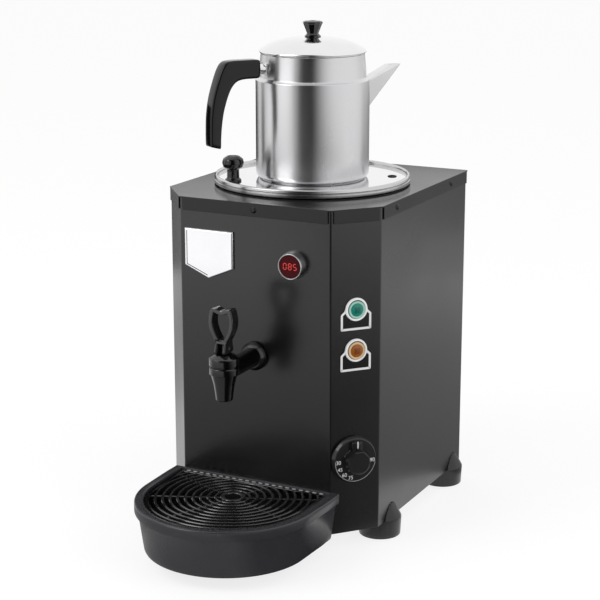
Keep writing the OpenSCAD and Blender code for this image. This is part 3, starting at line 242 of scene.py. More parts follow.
def card_material(name, shade, across, along):
    """An even shade of grey that turns clear where either of its two fades does."""
    material = bpy.data.materials.new(name)
    material.use_nodes = True
    tree = material.node_tree
    tree.nodes.remove(tree.nodes["Principled BSDF"])
    place = tree.nodes.new("ShaderNodeUVMap")
    split = tree.nodes.new("ShaderNodeSeparateXYZ")
    link(tree, place.outputs[0], split.inputs[0])
    solid = tree.nodes.new("ShaderNodeMath")
    solid.operation = "MULTIPLY"
    link(tree, fade_of(tree, split.outputs["X"], across), solid.inputs[0])
    link(tree, fade_of(tree, split.outputs["Y"], along), solid.inputs[1])
    clear = tree.nodes.new("ShaderNodeBsdfTransparent")
    mix_into(tree, solid.outputs[0], clear, glowing(tree, (shade, shade, shade, 1)), "Material Output")
    return material


EVEN = [(0, 1), (1, 1)]
SOFT = [(0, 0), (0.2, 1), (0.8, 1), (1, 0)]
TANK_SPOT = (0, TANK_Y * MM)
CARD_STEPS = 24


def make_card(name, near, far, turns, shade, across, along=EVEN, centre=TANK_SPOT):
    """A card round a centre, from (radius, height) near to far, between two azimuths in degrees.

    The camera, soft light and shadows miss it, so that it shows only in reflections, as a studio flag does.
    """
    mesh = bpy.data.meshes.new(name)
    points = []
    for step in range(CARD_STEPS + 1):
        turn = math.radians(turns[0] + (turns[1] - turns[0]) * step / CARD_STEPS)
        for radius, height in (near, far):
            points.append((centre[0] + radius * math.cos(turn), centre[1] + radius * math.sin(turn), height))
    faces = [(2 * step, 2 * step + 2, 2 * step + 3, 2 * step + 1) for step in range(CARD_STEPS)]
    mesh.from_pydata(points, [], faces)
    uv = mesh.uv_layers.new(name="card")
    for corner, loop in enumerate(mesh.loops):
        uv.data[corner].uv = (loop.vertex_index // 2 / CARD_STEPS, loop.vertex_index % 2)
    mesh.materials.append(card_material(name, shade, across, along))
    card = add_to_scene(name, mesh)
    card.visible_camera = False
    card.visible_diffuse = False
    card.visible_shadow = False


CAMERA_SIDE = math.degrees(math.atan2(CAMERA_PLACE[1] - TANK_Y * MM, CAMERA_PLACE[0]))
FAR_CARD = 1.1              # radii of the upright cards
NEAR_CARD = 0.6
LEFT_CARD = 0.58
SIDE_CARD = 1.5


def from_camera(start, end):
    """Two azimuths, given in degrees from the camera's side of the object."""
    return CAMERA_SIDE + start, CAMERA_SIDE + end


def make_wall_cards():
    """The dark and grey bands that the upright steel and the casing's sides mirror."""
    tall = [(FAR_CARD, 0.07), (FAR_CARD, 2.2)]
    low = [(NEAR_CARD, 0.14), (NEAR_CARD, 0.45)]
    rising = [(0, 0), (0.31, 0.05), (0.58, 0.2), (0.82, 0.38), (1, 0.55)]
    core = [(0, 0), (0.08, 0.6), (0.16, 0.93), (0.23, 1), (0.47, 1), (0.54, 0.86), (0.62, 0.64),
            (0.7, 0.44), (0.78, 0.25), (0.86, 0.13), (1, 0)]
    edge = [(0, 0), (0.2, 0.12), (0.33, 0.2), (0.49, 0.32), (0.7, 0.55), (0.9, 0.7), (1, 0.7)]
    make_card("fade_flag", (FAR_CARD, 0.1), (FAR_CARD, 2.2), from_camera(-60, -34), 0.03, rising)
    make_card("core_flag", (NEAR_CARD, 0.12), (NEAR_CARD, 1.6), from_camera(-38, 42), 0.03, core)
    make_card("line_flag", *tall, from_camera(-87, -79), 0.02, SOFT)
    make_card("left_flag", (LEFT_CARD, 0.14), (LEFT_CARD, 0.45), from_camera(-122, -108), 0.01, SOFT)
    make_card("grey_flag", *low, from_camera(-146, -95), 0.7, SOFT)
    make_card("back_flag", *low, from_camera(-180, -134), 0.02, [(0, 1), (0.93, 1), (1, 0)])
    make_card("edge_flag", *low, from_camera(90, 178), 0.05, edge)
    make_card("side_flag", (SIDE_CARD, 0), (SIDE_CARD, 0.3), from_camera(110, 175), 0.5, SOFT)


def make_floor_cards():
    """Two flat cards just over the floor, which the lower casing and the tray mirror."""
    fading = [(0, 0), (0.12, 1), (0.45, 1), (0.56, 0.85), (0.7, 0.6), (1, 0)]
    make_card("near_card", (0.2, 0.002), (1.4, 0.002), (-160, 160), 0.35,
              [(0, 0), (0.04, 1), (0.96, 1), (1, 0)], [(0, 1), (0.45, 0.75), (1, 0)])
    make_card("floor_card", (0.1, 0.004), (1.7, 0.004), from_camera(-11, 74), 0.02,
              fading, [(0, 1), (0.6, 1), (1, 0.3)], centre=(0, -0.015))


def make_studio():
    make_world()
    make_floor()
    area_light("key_light", (-1.2, -1.6, 1.9), size=1.4, power=18, mirrored=True)
    area_light("side_light", (1.9, -0.4, 1.3), size=1.2, power=8, mirrored=False)
    make_wall_cards()
    make_floor_cards()


# ---------- Materials ----------

MATERIALS = {}
EVEN_STRETCH = (1, 1, 1)
NOISE_LOW = 0.3             # most of a noise lies between these two
NOISE_HIGH = 0.7


def new_material(name, color, roughness, metallic=0.0, gloss=0.5):
    material = bpy.data.materials.new(name)
    material.use_nodes = True
    shader = material.node_tree.nodes["Principled BSDF"]
    shader.inputs["Base Color"].default_value = (*color, 1)
    shader.inputs["Roughness"].default_value = roughness
    shader.inputs["Metallic"].default_value = metallic
    shader.inputs["Specular IOR Level"].default_value = gloss
    MATERIALS[name] = material
    return material


def noise_of(tree, scale, stretch, detail):
    """Noise in the object's own metres; stretch over 1 makes it finer along that axis."""
    place = tree.nodes.new("ShaderNodeTexCoord")
    mapping = tree.nodes.new("ShaderNodeMapping")
    mapping.inputs["Scale"].default_value = stretch
    link(tree, place.outputs["Object"], mapping.inputs["Vector"])
    noise = tree.nodes.new("ShaderNodeTexNoise")
    noise.inputs["Scale"].default_value = scale
    noise.inputs["Detail"].default_value = detail
    link(tree, mapping.outputs[0], noise.inputs["Vector"])
    return noise.outputs["Fac"]


def vary_roughness(material, scale, low, high, stretch=EVEN_STRETCH):
    """The roughness runs between two values in soft patches."""
    tree = material.node_tree
    spread = tree.nodes.new("ShaderNodeMapRange")
    spread.inputs["From Min"].default_value = NOISE_LOW
    spread.inputs["From Max"].default_value = NOISE_HIGH
    spread.inputs["To Min"].default_value = low
    spread.inputs["To Max"].default_value = high
    link(tree, noise_of(tree, scale, stretch, 2.0), spread.inputs["Value"])
    link(tree, spread.outputs[0], tree.nodes["Principled BSDF"].inputs["Roughness"])


def tint(material, scale, dark, light, stretch=EVEN_STRETCH):
    """The base colour runs between two colours in patches."""
    tree = material.node_tree
    mix = tree.nodes.new("ShaderNodeMix")
    mix.data_type = "RGBA"
    mix.inputs["A"].default_value = (*dark, 1)
    mix.inputs["B"].default_value = (*light, 1)
    link(tree, noise_of(tree, scale, stretch, 4.0), mix.inputs["Factor"])
    link(tree, mix.outputs["Result"], tree.nodes["Principled BSDF"].inputs["Base Color"])


def relief(material, scale, depth, stretch=EVEN_STRETCH):
    """A fine bump, depth in metres."""
    tree = material.node_tree
    bump = tree.nodes.new("ShaderNodeBump")
    bump.inputs["Distance"].default_value = depth
    link(tree, noise_of(tree, scale, stretch, 2.0), bump.inputs["Height"])
    link(tree, bump.outputs[0], tree.nodes["Principled BSDF"].inputs["Normal"])


def grey(value):
    return (value, value, value)


def times(color, share):
    return tuple(share * part for part in color)


def painted(name, color, roughness, grain, gloss):
    """Coated sheet: broad faint patches and a very fine grain."""
    material = new_material(name, color, roughness, gloss=gloss)
    tint(material, 18, times(color, 0.85), times(color, 1.15))
    vary_roughness(material, 9, roughness * 0.85, roughness * 1.2)
    relief(material, 900, grain)


def moulded(name, color, roughness, grain=0.00001, gloss=0.5):
    """Plastic, rubber, glass or ink: smaller patches and a grain of the given depth."""
    material = new_material(name, color, roughness, gloss=gloss)
    tint(material, 30, times(color, 0.8), times(color, 1.2))
    vary_roughness(material, 25, roughness * 0.8, roughness * 1.25)
    relief(material, 1800, grain)


def metal(name, color, roughness, stretch=EVEN_STRETCH, grain=0.000004, swing=0.2):
    """Bare metal: swing is how far its roughness runs up and down, and a grain of 0 leaves it smooth."""
    material = new_material(name, color, roughness, metallic=1.0)
    tint(material, 60, times(color, 1 - swing / 3), color, stretch)
    vary_roughness(material, 40, roughness * (1 - swing), roughness * (1 + swing), stretch)
    if grain:
        relief(material, 700, grain, stretch)
    return material


def brushed(name, color, roughness):
    """Steel turned on a lathe: fine scratches run round, so that reflections stretch upwards."""
    material = metal(name, color, roughness, stretch=grey(0.3), grain=0, swing=0.04)
    tree = material.node_tree
    shader = tree.nodes["Principled BSDF"]
    shader.inputs["Anisotropic"].default_value = 0.85
    shader.inputs["Anisotropic Rotation"].default_value = 0.25
    tangent = tree.nodes.new("ShaderNodeTangent")
    tangent.direction_type = "RADIAL"
    tangent.axis = "Z"
    link(tree, tangent.outputs[0], shader.inputs["Tangent"])


def make_slot_materials():
    """One finish for each material slot of the record."""
    painted("casing_paint", grey(0.005), 0.24, grain=0.000003, gloss=0.78)
    painted("cover_paint", grey(0.02), 0.15, grain=0.000002, gloss=0.27)
    metal("galvanised", (0.42, 0.43, 0.45), 0.38)
    metal("tank_steel", (0.5, 0.5, 0.51), 0.3)
    brushed("polished_steel", (0.7, 0.7, 0.71), 0.28)
    metal("mirror_steel", (0.86, 0.86, 0.87), 0.05)
    moulded("black_plastic", grey(0.0015), 0.08, gloss=0.75)
    moulded("tray_plastic", (0.032, 0.032, 0.037), 0.22, grain=0.000008)
    moulded("black_rubber", grey(0.007), 0.45, grain=0.00004)
    metal("screw_black", grey(0.05), 0.35)
    metal("screw_steel", (0.55, 0.55, 0.55), 0.25)
    moulded("insulation", (0.6, 0.52, 0.3), 0.8, grain=0.0004)
    metal("heater_tube", (0.25, 0.24, 0.23), 0.4)
    metal("brass_parts", (0.7, 0.5, 0.2), 0.25)
    metal("copper_tube", (0.75, 0.42, 0.28), 0.25)
    moulded("ceramic", (0.6, 0.57, 0.5), 0.3)
    metal("bezel_chrome", (0.75, 0.75, 0.76), 0.16)
    moulded("display_red", (0.05, 0.001, 0.003), 0.2, gloss=0.12)
    moulded("green_glass", (0.01, 0.2, 0.15), 0.08)
    moulded("amber_glass", (0.3, 0.09, 0.01), 0.08)
    metal("badge_silver", (0.96, 0.96, 0.98), 0.1, grain=0)


def make_own_materials():
    """Finishes that this script gives to some nodes and to its own pieces."""
    metal("satin_chrome", (0.92, 0.92, 0.93), 0.32, grain=0)
    metal("smooth_steel", (0.86, 0.86, 0.87), 0.14, grain=0)
    metal("spout_steel", (0.82, 0.82, 0.83), 0.32, grain=0)
    metal("rim_steel", grey(0.62), 0.2, grain=0)
    moulded("foot_plastic", grey(0.014), 0.24)
    moulded("handle_plastic", grey(0.002), 0.1, gloss=0.35)
    moulded("dial_plastic", grey(0.012), 0.16)
    moulded("grille_plastic", grey(0.012), 0.12, gloss=1)
    # a light grey that paints the highlight on the grille's teeth
    moulded("painted_highlight_grey", grey(0.36), 0.4)
    moulded("lamp_ring", grey(0.9), 0.2)
    moulded("white_ink", grey(0.8), 0.5)
    moulded("grey_ink", grey(0.4), 0.5)
    # black print, and also the painted shade in the lamps' gaps
    moulded("black_ink_and_painted_shade", grey(0.004), 0.5)
    moulded("red_glow", (0.9, 0.06, 0.05), 0.3)
    moulded("green_pale", (0.35, 0.6, 0.52), 0.1)
    moulded("green_core", (0.006, 0.12, 0.09), 0.1)
    moulded("amber_pale", (0.7, 0.5, 0.28), 0.1)
    moulded("amber_core", (0.2, 0.05, 0.006), 0.1)


FEET = [f"foot_{end}_{side}" for end in ("front", "rear") for side in ("left", "right")]
OWN_FINISH = {"pot_spout": "spout_steel", "pot_bracket": "smooth_steel", "tap_lever": "grille_plastic",
              **{foot: "foot_plastic" for foot in FEET}}


def dress_nodes():
    """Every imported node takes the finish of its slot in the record, or the one given for it above."""
    for subpart in frame["record"]["subparts"]:
        node = NODES.get(subpart["node"])
        if node:
            finish = OWN_FINISH.get(subpart["node"], subpart["material_slot"])
            node.data.materials.clear()
            node.data.materials.append(MATERIALS[finish])


# ---------- Shapes ----------

NEARLY_HALF = 1 / 2.01      # the most of a side that the rounding of one of its corners may take
SHORTEST_MITRE = 0.4
AXIS_RADIUS = 0.001         # a smaller radius lies on the axis


def rounded(outline, closed=False, steps=4):
    """An outline of (x, y) or (x, y, radius) corners, with the corners that have a radius rounded."""
    smooth = []
    count = len(outline)
    for i, corner in enumerate(outline):
        here = Vector(corner[:2])
        if len(corner) < 3 or (not closed and i in (0, count - 1)):
            smooth.append(here)
            continue
        before = Vector(outline[i - 1][:2]) - here
        after = Vector(outline[(i + 1) % count][:2]) - here
        room = min(before.length, after.length) * NEARLY_HALF
        cut = min(corner[2] / math.tan(before.angle(after) / 2), room)
        start = here + before.normalized() * cut
        end = here + after.normalized() * cut
        for step in range(steps + 1):
            part = step / steps
            smooth.append(start.lerp(here, part).lerp(here.lerp(end, part), part))
    return smooth


def flowing(points, steps=6):
    """A smooth curve through the points."""
    knots = [Vector(p) for p in points]
    knots = [2 * knots[0] - knots[1]] + knots + [2 * knots[-1] - knots[-2]]
    curve = []
    for a, b, c, d in zip(knots, knots[1:], knots[2:], knots[3:]):
        for step in range(steps):
            t = step / steps
            curve.append(0.5 * (2 * b + (c - a) * t + (2 * a - 5 * b + 4 * c - d) * t ** 2
                                + (3 * b - a - 3 * c + d) * t ** 3))
    return curve + [knots[-2]]


def arc(radius, start, end, steps, centre=(0, 0)):
    """Points on a circle between two angles in degrees."""
    turns = [math.radians(start + (end - start) * i / steps) for i in range(steps + 1)]
    return [(centre[0] + radius * math.cos(turn), centre[1] + radius * math.sin(turn)) for turn in turns]


def bridge(first, second, faces):
    """Adds the faces between two closed loops of point numbers."""
    for i in range(len(first)):
        j = (i + 1) % len(first)
        face = list(dict.fromkeys((first[i], first[j], second[j], second[i])))
        if len(face) > 2:
            faces.append(face)


def lathe(profile, steps, closed=False):
    """A profile of (radius, height) turned round Z."""
    points, rings, faces = [], [], []
    for radius, height in profile:
        if radius < AXIS_RADIUS:
            rings.append([len(points)] * steps)
            points.append((0, 0, height))
            continue
        rings.append(list(range(len(points), len(points) + steps)))
        for step in range(steps):
            turn = 2 * math.pi * step / steps
            points.append((radius * math.cos(turn), radius * math.sin(turn), height))
    for first, second in zip(rings, rings[1:] + (rings[:1] if closed else [])):
        bridge(first, second, faces)
    return points, faces


def turned(profile, fine=4, steps=96, closed=False):
    """A profile turned round Z, with rounded corners of so many fine steps."""
    return lathe(rounded(profile, closed, fine), steps, closed)


def loft(loops, capped=True):
    """A skin over closed loops of (x, y, z) that have the same number of points."""
    points = [point for loop in loops for point in loop]
    count = len(loops[0])
    rings = [list(range(i * count, (i + 1) * count)) for i in range(len(loops))]
    faces = []
    for first, second in zip(rings, rings[1:] + ([] if capped else rings[:1])):
        bridge(first, second, faces)
    if capped:
        faces += [rings[0][::-1], rings[-1]]
    return points, faces


def sides_of(path, closed):
    """The mitred sideways direction at each point of a flat path."""
    path = [Vector(p) for p in path]
    directions = [(b - a).normalized() for a, b in zip(path, path[1:] + path[:1])]
    if not closed:
        directions[-1] = directions[-2]
    sides = []
    for i, direction in enumerate(directions):
        before = directions[i - 1] if closed or i else direction
        total = (before + direction).normalized()
        sides.append(Vector((-total.y, total.x)) / max(total.dot(direction), SHORTEST_MITRE))
    return sides


def inset(outline, distance):
    """A closed outline that runs anticlockwise, moved inwards."""
    return [Vector(p) + side * distance for p, side in zip(outline, sides_of(outline, True))]


def slab(outline, layers):
    """A plate with shaped edges: layers are (inset, height) from the bottom to the top."""
    return loft([[(*p, height) for p in inset(outline, distance)] for distance, height in layers])


def sweep(path, section, closed=False):
    """A section of (sideways, height) points that follows a flat path."""
    sides = sides_of(path, closed)
    loops = [[(*(Vector(p) + side * out), height) for out, height in section] for p, side in zip(path, sides)]
    return loft(loops, capped=not closed)


def strip(path, width, low, top):
    """A flat strip of one width along a path."""
    half = width / 2
    return sweep(path, [(-half, low), (half, low), (half, top), (-half, top)])


def joined(shapes):
    """Several shapes as one."""
    points, faces = [], []
    for more_points, more_faces in shapes:
        faces += [[index + len(points) for index in face] for face in more_faces]
        points += more_points
    return points, faces


def lifted(shape, height):
    return [(x, y, z + height) for x, y, z in shape[0]], shape[1]


def enter(name, mesh, body, replaces=()):
    """Puts a mesh into the scene as a piece that moves with a body."""
    piece = add_to_scene(name, mesh)
    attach(piece, body)
    if replaces:
        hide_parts(*replaces)


def add_piece(name, shape, place, body, slot, replaces=(), finish=None, sharp=32):
    """A new piece, drawn in millimetres in the frame at its place. Its finish is its slot's, or its own."""
    mesh = bpy.data.meshes.new(name)
    mesh.from_pydata([place @ (Vector(point) * MM) for point in shape[0]], [], shape[1])
    work = bmesh.new()
    work.from_mesh(mesh)
    bmesh.ops.recalc_face_normals(work, faces=work.faces)
    work.to_mesh(mesh)
    work.free()
    mesh.shade_smooth()
    mesh.set_sharp_from_angle(angle=math.radians(sharp))
    mesh.materials.append(MATERIALS[finish or slot])
    enter(name, mesh, body, replaces)


SOFTENED = {"casing_wrap": 0.3, "top_cover": 0.5, **{foot: 1.0 for foot in FEET}, "badge_plate": 0.4,
            "pot_spout": 0.4, "pot_bracket": 0.5, "tap_lever": 0.9, "tank_collar": 0.6}
WELD_REACH = 0.00002
FLAT_ANGLE = 0.4
EDGE_ANGLE = 30


def soften(node, width):
    """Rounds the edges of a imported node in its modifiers, width in millimetres."""
    thing = NODES[node]
    weld = thing.modifiers.new("weld", "WELD")
    weld.merge_threshold = WELD_REACH
    flat = thing.modifiers.new("flat", "DECIMATE")
    flat.decimate_type = "DISSOLVE"
    flat.angle_limit = math.radians(FLAT_ANGLE)
    bevel = thing.modifiers.new("bevel", "BEVEL")
    bevel.limit_method = "ANGLE"
    bevel.angle_limit = math.radians(EDGE_ANGLE)
    bevel.width = width * MM
    bevel.segments = 3
    bevel.use_clamp_overlap = False
    bevel.harden_normals = True


def round_top(width, height, edge):
    """A bar's section with rounded upper edges."""
    half = width / 2
    return rounded([(-half, 0), (-half, height, edge), (half, height, edge), (half, 0)], steps=3)


# ---------- Teapot ----------

POT_LOW = box_mm("pot_body")[0].z
POT_HEIGHT = box_mm("pot_body")[1].z - POT_LOW
POT_TURN = math.degrees(math.atan2(middle("pot_spout").y - TANK_Y, middle("pot_spout").x))
POT_PLACE = stand_at((0, TANK_Y, POT_LOW), POT_TURN)


def pot_body():
    radius = 60.2
    base = 56
    bend = 8
    shoulder = POT_HEIGHT - 29
    neck = 54.6
    wall = 1.0
    foot = 0.9
    quarter = [math.radians(9 * step) for step in range(1, 10)]
    outer = [(0, 1.6), (base - 5, 1.6, 1), (base - 4, 0, 1), (base - 1, 0, 0.4), (base - 0.6, foot, 0.3)]
    outer += [(base + (radius - base) * math.sin(turn), foot + (bend - foot) * (1 - math.cos(turn)))
              for turn in quarter]
    outer += [(radius, shoulder, 1.2), (radius - 1.9, shoulder + 1.2, 1), (neck + 2.3, shoulder + 2.6, 1.4)]
    outer += [(neck + 0.1, POT_HEIGHT - 2.2, 0.5), (neck + 0.8, POT_HEIGHT - 1.4, 0.6)]
    outer += [(neck + 0.8, POT_HEIGHT, 0.4)]
    inner = [(neck - wall, POT_HEIGHT, 0.3), (neck + 2.2 - wall, shoulder + 3), (radius - wall, shoulder)]
    inner += [(radius - wall, bend, 8), (base - wall, wall, 4), (0, wall)]
    shape = turned(outer + inner, 6, 192)
    add_piece("pot_shell", shape, POT_PLACE, "pot", "polished_steel", ["pot_body"])


def pot_lid():
    edge = 56.6
    rise = 13.3
    power = 2.9
    brim = 1.5
    plug = 53.3
    depth = 7
    steps = 24
    dome = [(edge * i / steps, brim + rise * (1 - (i / steps) ** power)) for i in range(steps, -1, -1)]
    rim = [(0, -depth), (plug, -depth, 0.4), (plug, 0), (edge - 0.8, -0.5), (edge - 0.3, -0.5, 0.3)]
    rim += [(edge, 0.2, 0.4), (edge - 0.5, brim)]
    shape = lathe(rounded(rim) + [Vector(p) for p in dome[1:]], 192)
    place = POT_PLACE @ shift(0, 0, POT_HEIGHT)
    add_piece("pot_lid_dome", shape, place, "pot_cover", "polished_steel", ["pot_lid"], "smooth_steel")


def pot_lid_knob():
    """A faceted knob: a small foot, a waist and a flared head."""
    height = 16.7
    facets = 10
    profile = [(0, 0), (8.6, 0), (8.6, 1.1), (7.2, 2.2), (6.1, 3.6), (9.9, height * 0.8)]
    profile += [(10.6, height * 0.85), (10.6, height * 0.9), (9.6, height * 0.96), (7.6, height * 0.995)]
    profile += [(4, height), (2.6, height - 0.5), (0, height - 0.6)]
    place = stand_at((0, TANK_Y, box_mm("pot_lid_knob")[1].z - height), POT_TURN)
    add_piece("pot_knob", lathe(profile, facets), place, "pot_cover", "black_plastic", ["pot_lid_knob"],
              sharp=12)


def pot_handle():
    """A bar with round edges, from its blunt end at the bracket over the corner and down to its foot."""
    arm = 118.3
    half_width = 8
    outer = [(64, 5), (65.2, 8.2), (68.5, 9.6), (84, 9.8), (96, 9.7), (103.6, 8), (109, 1), (114.6, -14),
             (119, -30), (121.3, -46), (121.9, -62), (121.9, -75), (121.2, -77.4)]
    inner = [(64, -5), (65.2, -8.2), (68.5, -9.6), (82, -9.8), (90, -11.2), (95, -14.6), (99.2, -20.5),
             (103.2, -30), (107, -43), (109.2, -57), (110.2, -69), (110.4, -78), (111, -80)]
    widths = [0.55, 0.85, 0.97] + [1] * (len(outer) - 5) + [0.97, 0.88]
    edge = 0.3
    section = rounded([(x, y, edge) for x, y in CORNERS], closed=True)
    loops = []
    stations = zip(flowing(outer), flowing(inner), flowing([(width, 0) for width in widths]))
    for top, bottom, share in stations:
        centre = (top + bottom) / 2
        reach = (top - bottom) / 2
        wide = half_width * share.x
        loops.append([(-centre.x - reach.x * out, wide * side, arm + centre.y + reach.y * out)
                      for out, side in section])
    add_piece("pot_grip", loft(loops), POT_PLACE, "pot", "black_plastic", ["pot_handle"], "handle_plastic",
              sharp=40)


# ---------- Urn lid ----------

LID_R = half_size("lid_rim")
STEAM_TURN = 25             # degrees
STEAM_IN = 19.5             # from the lid's edge


def lid_rim():
    """A rolled band with a fine groove round its side."""
    low, high = box_mm("lid_rim")
    bottom = low.z
    top = high.z
    inner = LID_R - 4.5
    skirt = LID_R - 3
    groove = LID_R - 0.7
    waist = (bottom + top) / 2
    section = [(inner, bottom + 2.3), (skirt, bottom + 2.2), (skirt, bottom), (LID_R - 0.4, bottom, 0.3),
               (LID_R, bottom + 0.6, 0.4), (LID_R, waist - 0.8, 0.2), (groove, waist - 0.4, 0.2),
               (groove, waist + 0.2, 0.2), (LID_R, waist + 0.6, 0.2), (LID_R, top - 3.2, 1),
               (LID_R - 0.4, top - 1.2, 1), (LID_R - 1.3, top - 0.2, 1), (LID_R - 2.25, top, 1),
               (LID_R - 3.3, top - 0.2, 1), (inner + 0.4, top - 1.2, 1), (inner, top - 2.6, 0.6)]
    shape = turned(section, 3, 192, closed=True)
    add_piece("lid_band", shape, stand_at((0, TANK_Y, 0)), "lid", "polished_steel", ["lid_rim"], "rim_steel")


def lid_knob():
    low, high = box_mm("lid_knob")
    centre = middle("lid_knob")
    height = high.z - low.z
    head = half_size("lid_knob")
    profile = [(0, 0), (8.7, 0, 0.5), (8.7, 1.6, 0.6), (6.5, 3.6, 1.5), (6.3, height * 0.46, 3),
               (head - 1.5, height * 0.56, 2), (head, height * 0.72, 4), (head - 1.2, height * 0.88, 3),
               (head - 4.5, height * 0.97, 3), (6.4, height * 0.985, 0.8), (5.6, height * 0.95, 0.6),
               (3.6, height * 0.95, 0.6), (2.6, height * 0.98, 1), (0, height)]
    place = stand_at((centre.x, centre.y, low.z))
    add_piece("lid_grip", turned(profile, 6), place, "lid", "black_plastic", ["lid_knob"])


def steam_grommet():
    """The black ring in the steam hole of the lid."""
    turn = math.radians(STEAM_TURN)
    out = LID_R - STEAM_IN
    ring = [(2.6, -2.0), (4.0, -2.0), (4.0, 0), (4.9, 0), (4.9, 0.5, 0.3), (4.2, 1.0, 0.4), (2.9, 1.0, 0.4),
            (2.6, 0.4, 0.3)]
    place = stand_at((out * math.cos(turn), TANK_Y + out * math.sin(turn), box_mm("lid_plate")[1].z))
    add_piece("steam_grommet", turned(ring, 3, 48, closed=True), place, "lid", "black_rubber")


# ---------- Tap ----------

TAP_Y = middle("tap_bonnet").y
TAP_Z = middle("tap_collar").z
NOZZLE_Z = box_mm("tap_body")[0].z
VALVE_R = half_size("tap_bonnet")
VALVE_BORE = 9.3
PIPE_R = 10


def tap_body():
    """The nozzle with the valve chamber over it, and the pipe that goes back through the panel."""
    top = box_mm("tap_bonnet")[0].z - NOZZLE_Z
    side = VALVE_R - 0.2
    seat = 22
    profile = [(VALVE_BORE, top - 2), (VALVE_BORE, seat), (6, seat), (6, 0.8, 0.6), (6.8, 0, 0.6)]
    profile += [(7.8, 0, 0.7), (8.6, 0.9, 0.7), (9.2, 7, 12), (10.8, 17, 12), (side - 1.6, 26.2, 0.6)]
    profile += [(side - 1.4, 27, 0.4), (side, 27.4, 0.5), (side, top - 0.9, 0.6), (side - 0.9, top, 0.6)]
    profile += [(VALVE_BORE, top)]
    place = stand_at((0, TAP_Y, NOZZLE_Z))
    add_piece("tap_barrel", turned(profile, 5), place, "root", "black_plastic", ["tap_body"])
    reach = FRONT - TAP_Y
    shank = 34
    pipe = [(0, 8), (PIPE_R, 8), (PIPE_R, reach - 1.5), (8, reach - 1.5), (8, reach + shank)]
    pipe += [(5, reach + shank), (5, reach)]
    along = shift(0, TAP_Y, TAP_Z) @ Matrix.Rotation(math.radians(-90), 4, "X")
    add_piece("tap_pipe", turned(pipe), along, "root", "black_plastic")


def tap_bonnet():
    low, high = box_mm("tap_bonnet")
    height = high.z - low.z
    stem_bore = 3.1
    profile = [(stem_bore, 1), (VALVE_BORE, 1), (VALVE_BORE, 0), (VALVE_R - 1.7, 0), (VALVE_R - 1.7, 1.0)]
    profile += [(VALVE_R - 0.6, 1.0, 0.4), (VALVE_R, 1.7, 0.5), (VALVE_R, 9.2, 0.8)]
    profile += [(VALVE_R - 1.2, 10.2, 0.8), (VALVE_R - 5.6, height, 2), (stem_bore, height)]
    place = stand_at((0, TAP_Y, low.z))
    add_piece("tap_cap", turned(profile, 5), place, "root", "black_plastic", ["tap_bonnet"])


def tap_collar():
    low, high = box_mm("tap_collar")
    side = half_size("tap_collar")
    depth = high.y - low.y
    bore = PIPE_R + 0.05
    profile = [(bore, 0), (side, 0, 0.4), (side, 2.6, 1.2), (side - 1.4, 5.4, 3), (side - 3.4, depth, 1.6)]
    profile += [(bore, depth)]
    place = facing((0, high.y, TAP_Z), OUT_OF_FRONT)
    add_piece("tap_dome", turned(profile, 6), place, "root", "black_plastic", ["tap_collar"])


# ---------- Thermostat dial ----------

DIAL_FRAME = facing(DIAL_PLACE, CHAMFER_OUT)
DIAL_R = half_size("thermostat_knob", Z) + 0.5
DIAL_FACE_R = DIAL_R - 2
DIAL_SKIRT = 7
DIAL_DEPTH = 17
DIAL_NUMBERS = (("30", 182), ("45", 206), ("60", 230), ("75", 254), ("90", 354))
NUMBER_R = 19.0
NUMBER_SIZE = 5.6
NUMBER_RELIEF = 0.05
DIAL_ARC = (178, 350)       # degrees where the printed line starts and ends
GRIP_R = 13.3
FACET = 45                  # degrees that each flat of the grip takes
GRIP_STEPS = 144
DOT_UP = 31.5               # from the dial's middle to the dot on the panel


def grip_loop(scale, height):
    """The grip's outline: facets on its upper half and round below."""
    loop = []
    for step in range(GRIP_STEPS):
        turn = 2 * math.pi * step / GRIP_STEPS
        radius = GRIP_R
        if math.sin(turn) > 0:
            off_flat = (math.degrees(turn) + FACET / 2) % FACET - FACET / 2
            radius *= math.cos(math.radians(FACET / 2)) / math.cos(math.radians(off_flat))
        loop.append((radius * scale * math.cos(turn), radius * scale * math.sin(turn), height))
    return loop


def thermostat_knob():
    """A skirt, a grip that narrows outwards, and a raised pointer on the skirt."""
    skirt = [(0, 0.6), (DIAL_R - 0.4, 0.6), (DIAL_R, 1.0, 0.3), (DIAL_R, 3.4, 0.8)]
    skirt += [(DIAL_FACE_R, DIAL_SKIRT, 1.2), (0, DIAL_SKIRT)]
    levels = [(1.04, DIAL_SKIRT - 1), (1.04, DIAL_SKIRT), (1.0, DIAL_SKIRT + 1), (0.95, DIAL_DEPTH - 1.4),
              (0.93, DIAL_DEPTH - 0.5), (0.88, DIAL_DEPTH), (0.82, DIAL_DEPTH), (0.8, DIAL_DEPTH - 0.3)]
    grip = loft([grip_loop(scale, height) for scale, height in levels])
    tip = DIAL_FACE_R - 1.6
    bar = rounded([(-6, 8, 0.5), (6, 8, 0.5), (6, tip, 0.8), (-6, tip, 0.8)], closed=True)
    pointer = slab(bar, [(0, DIAL_SKIRT - 1), (0, DIAL_SKIRT + 4.6), (0.4, DIAL_SKIRT + 5.4),
                         (1.2, DIAL_SKIRT + 5.7)])
    shape = joined([turned(skirt, steps=144), grip, pointer])
    add_piece("dial", shape, DIAL_FRAME, "knob", "black_plastic", ["thermostat_knob"], "dial_plastic",
              sharp=25)


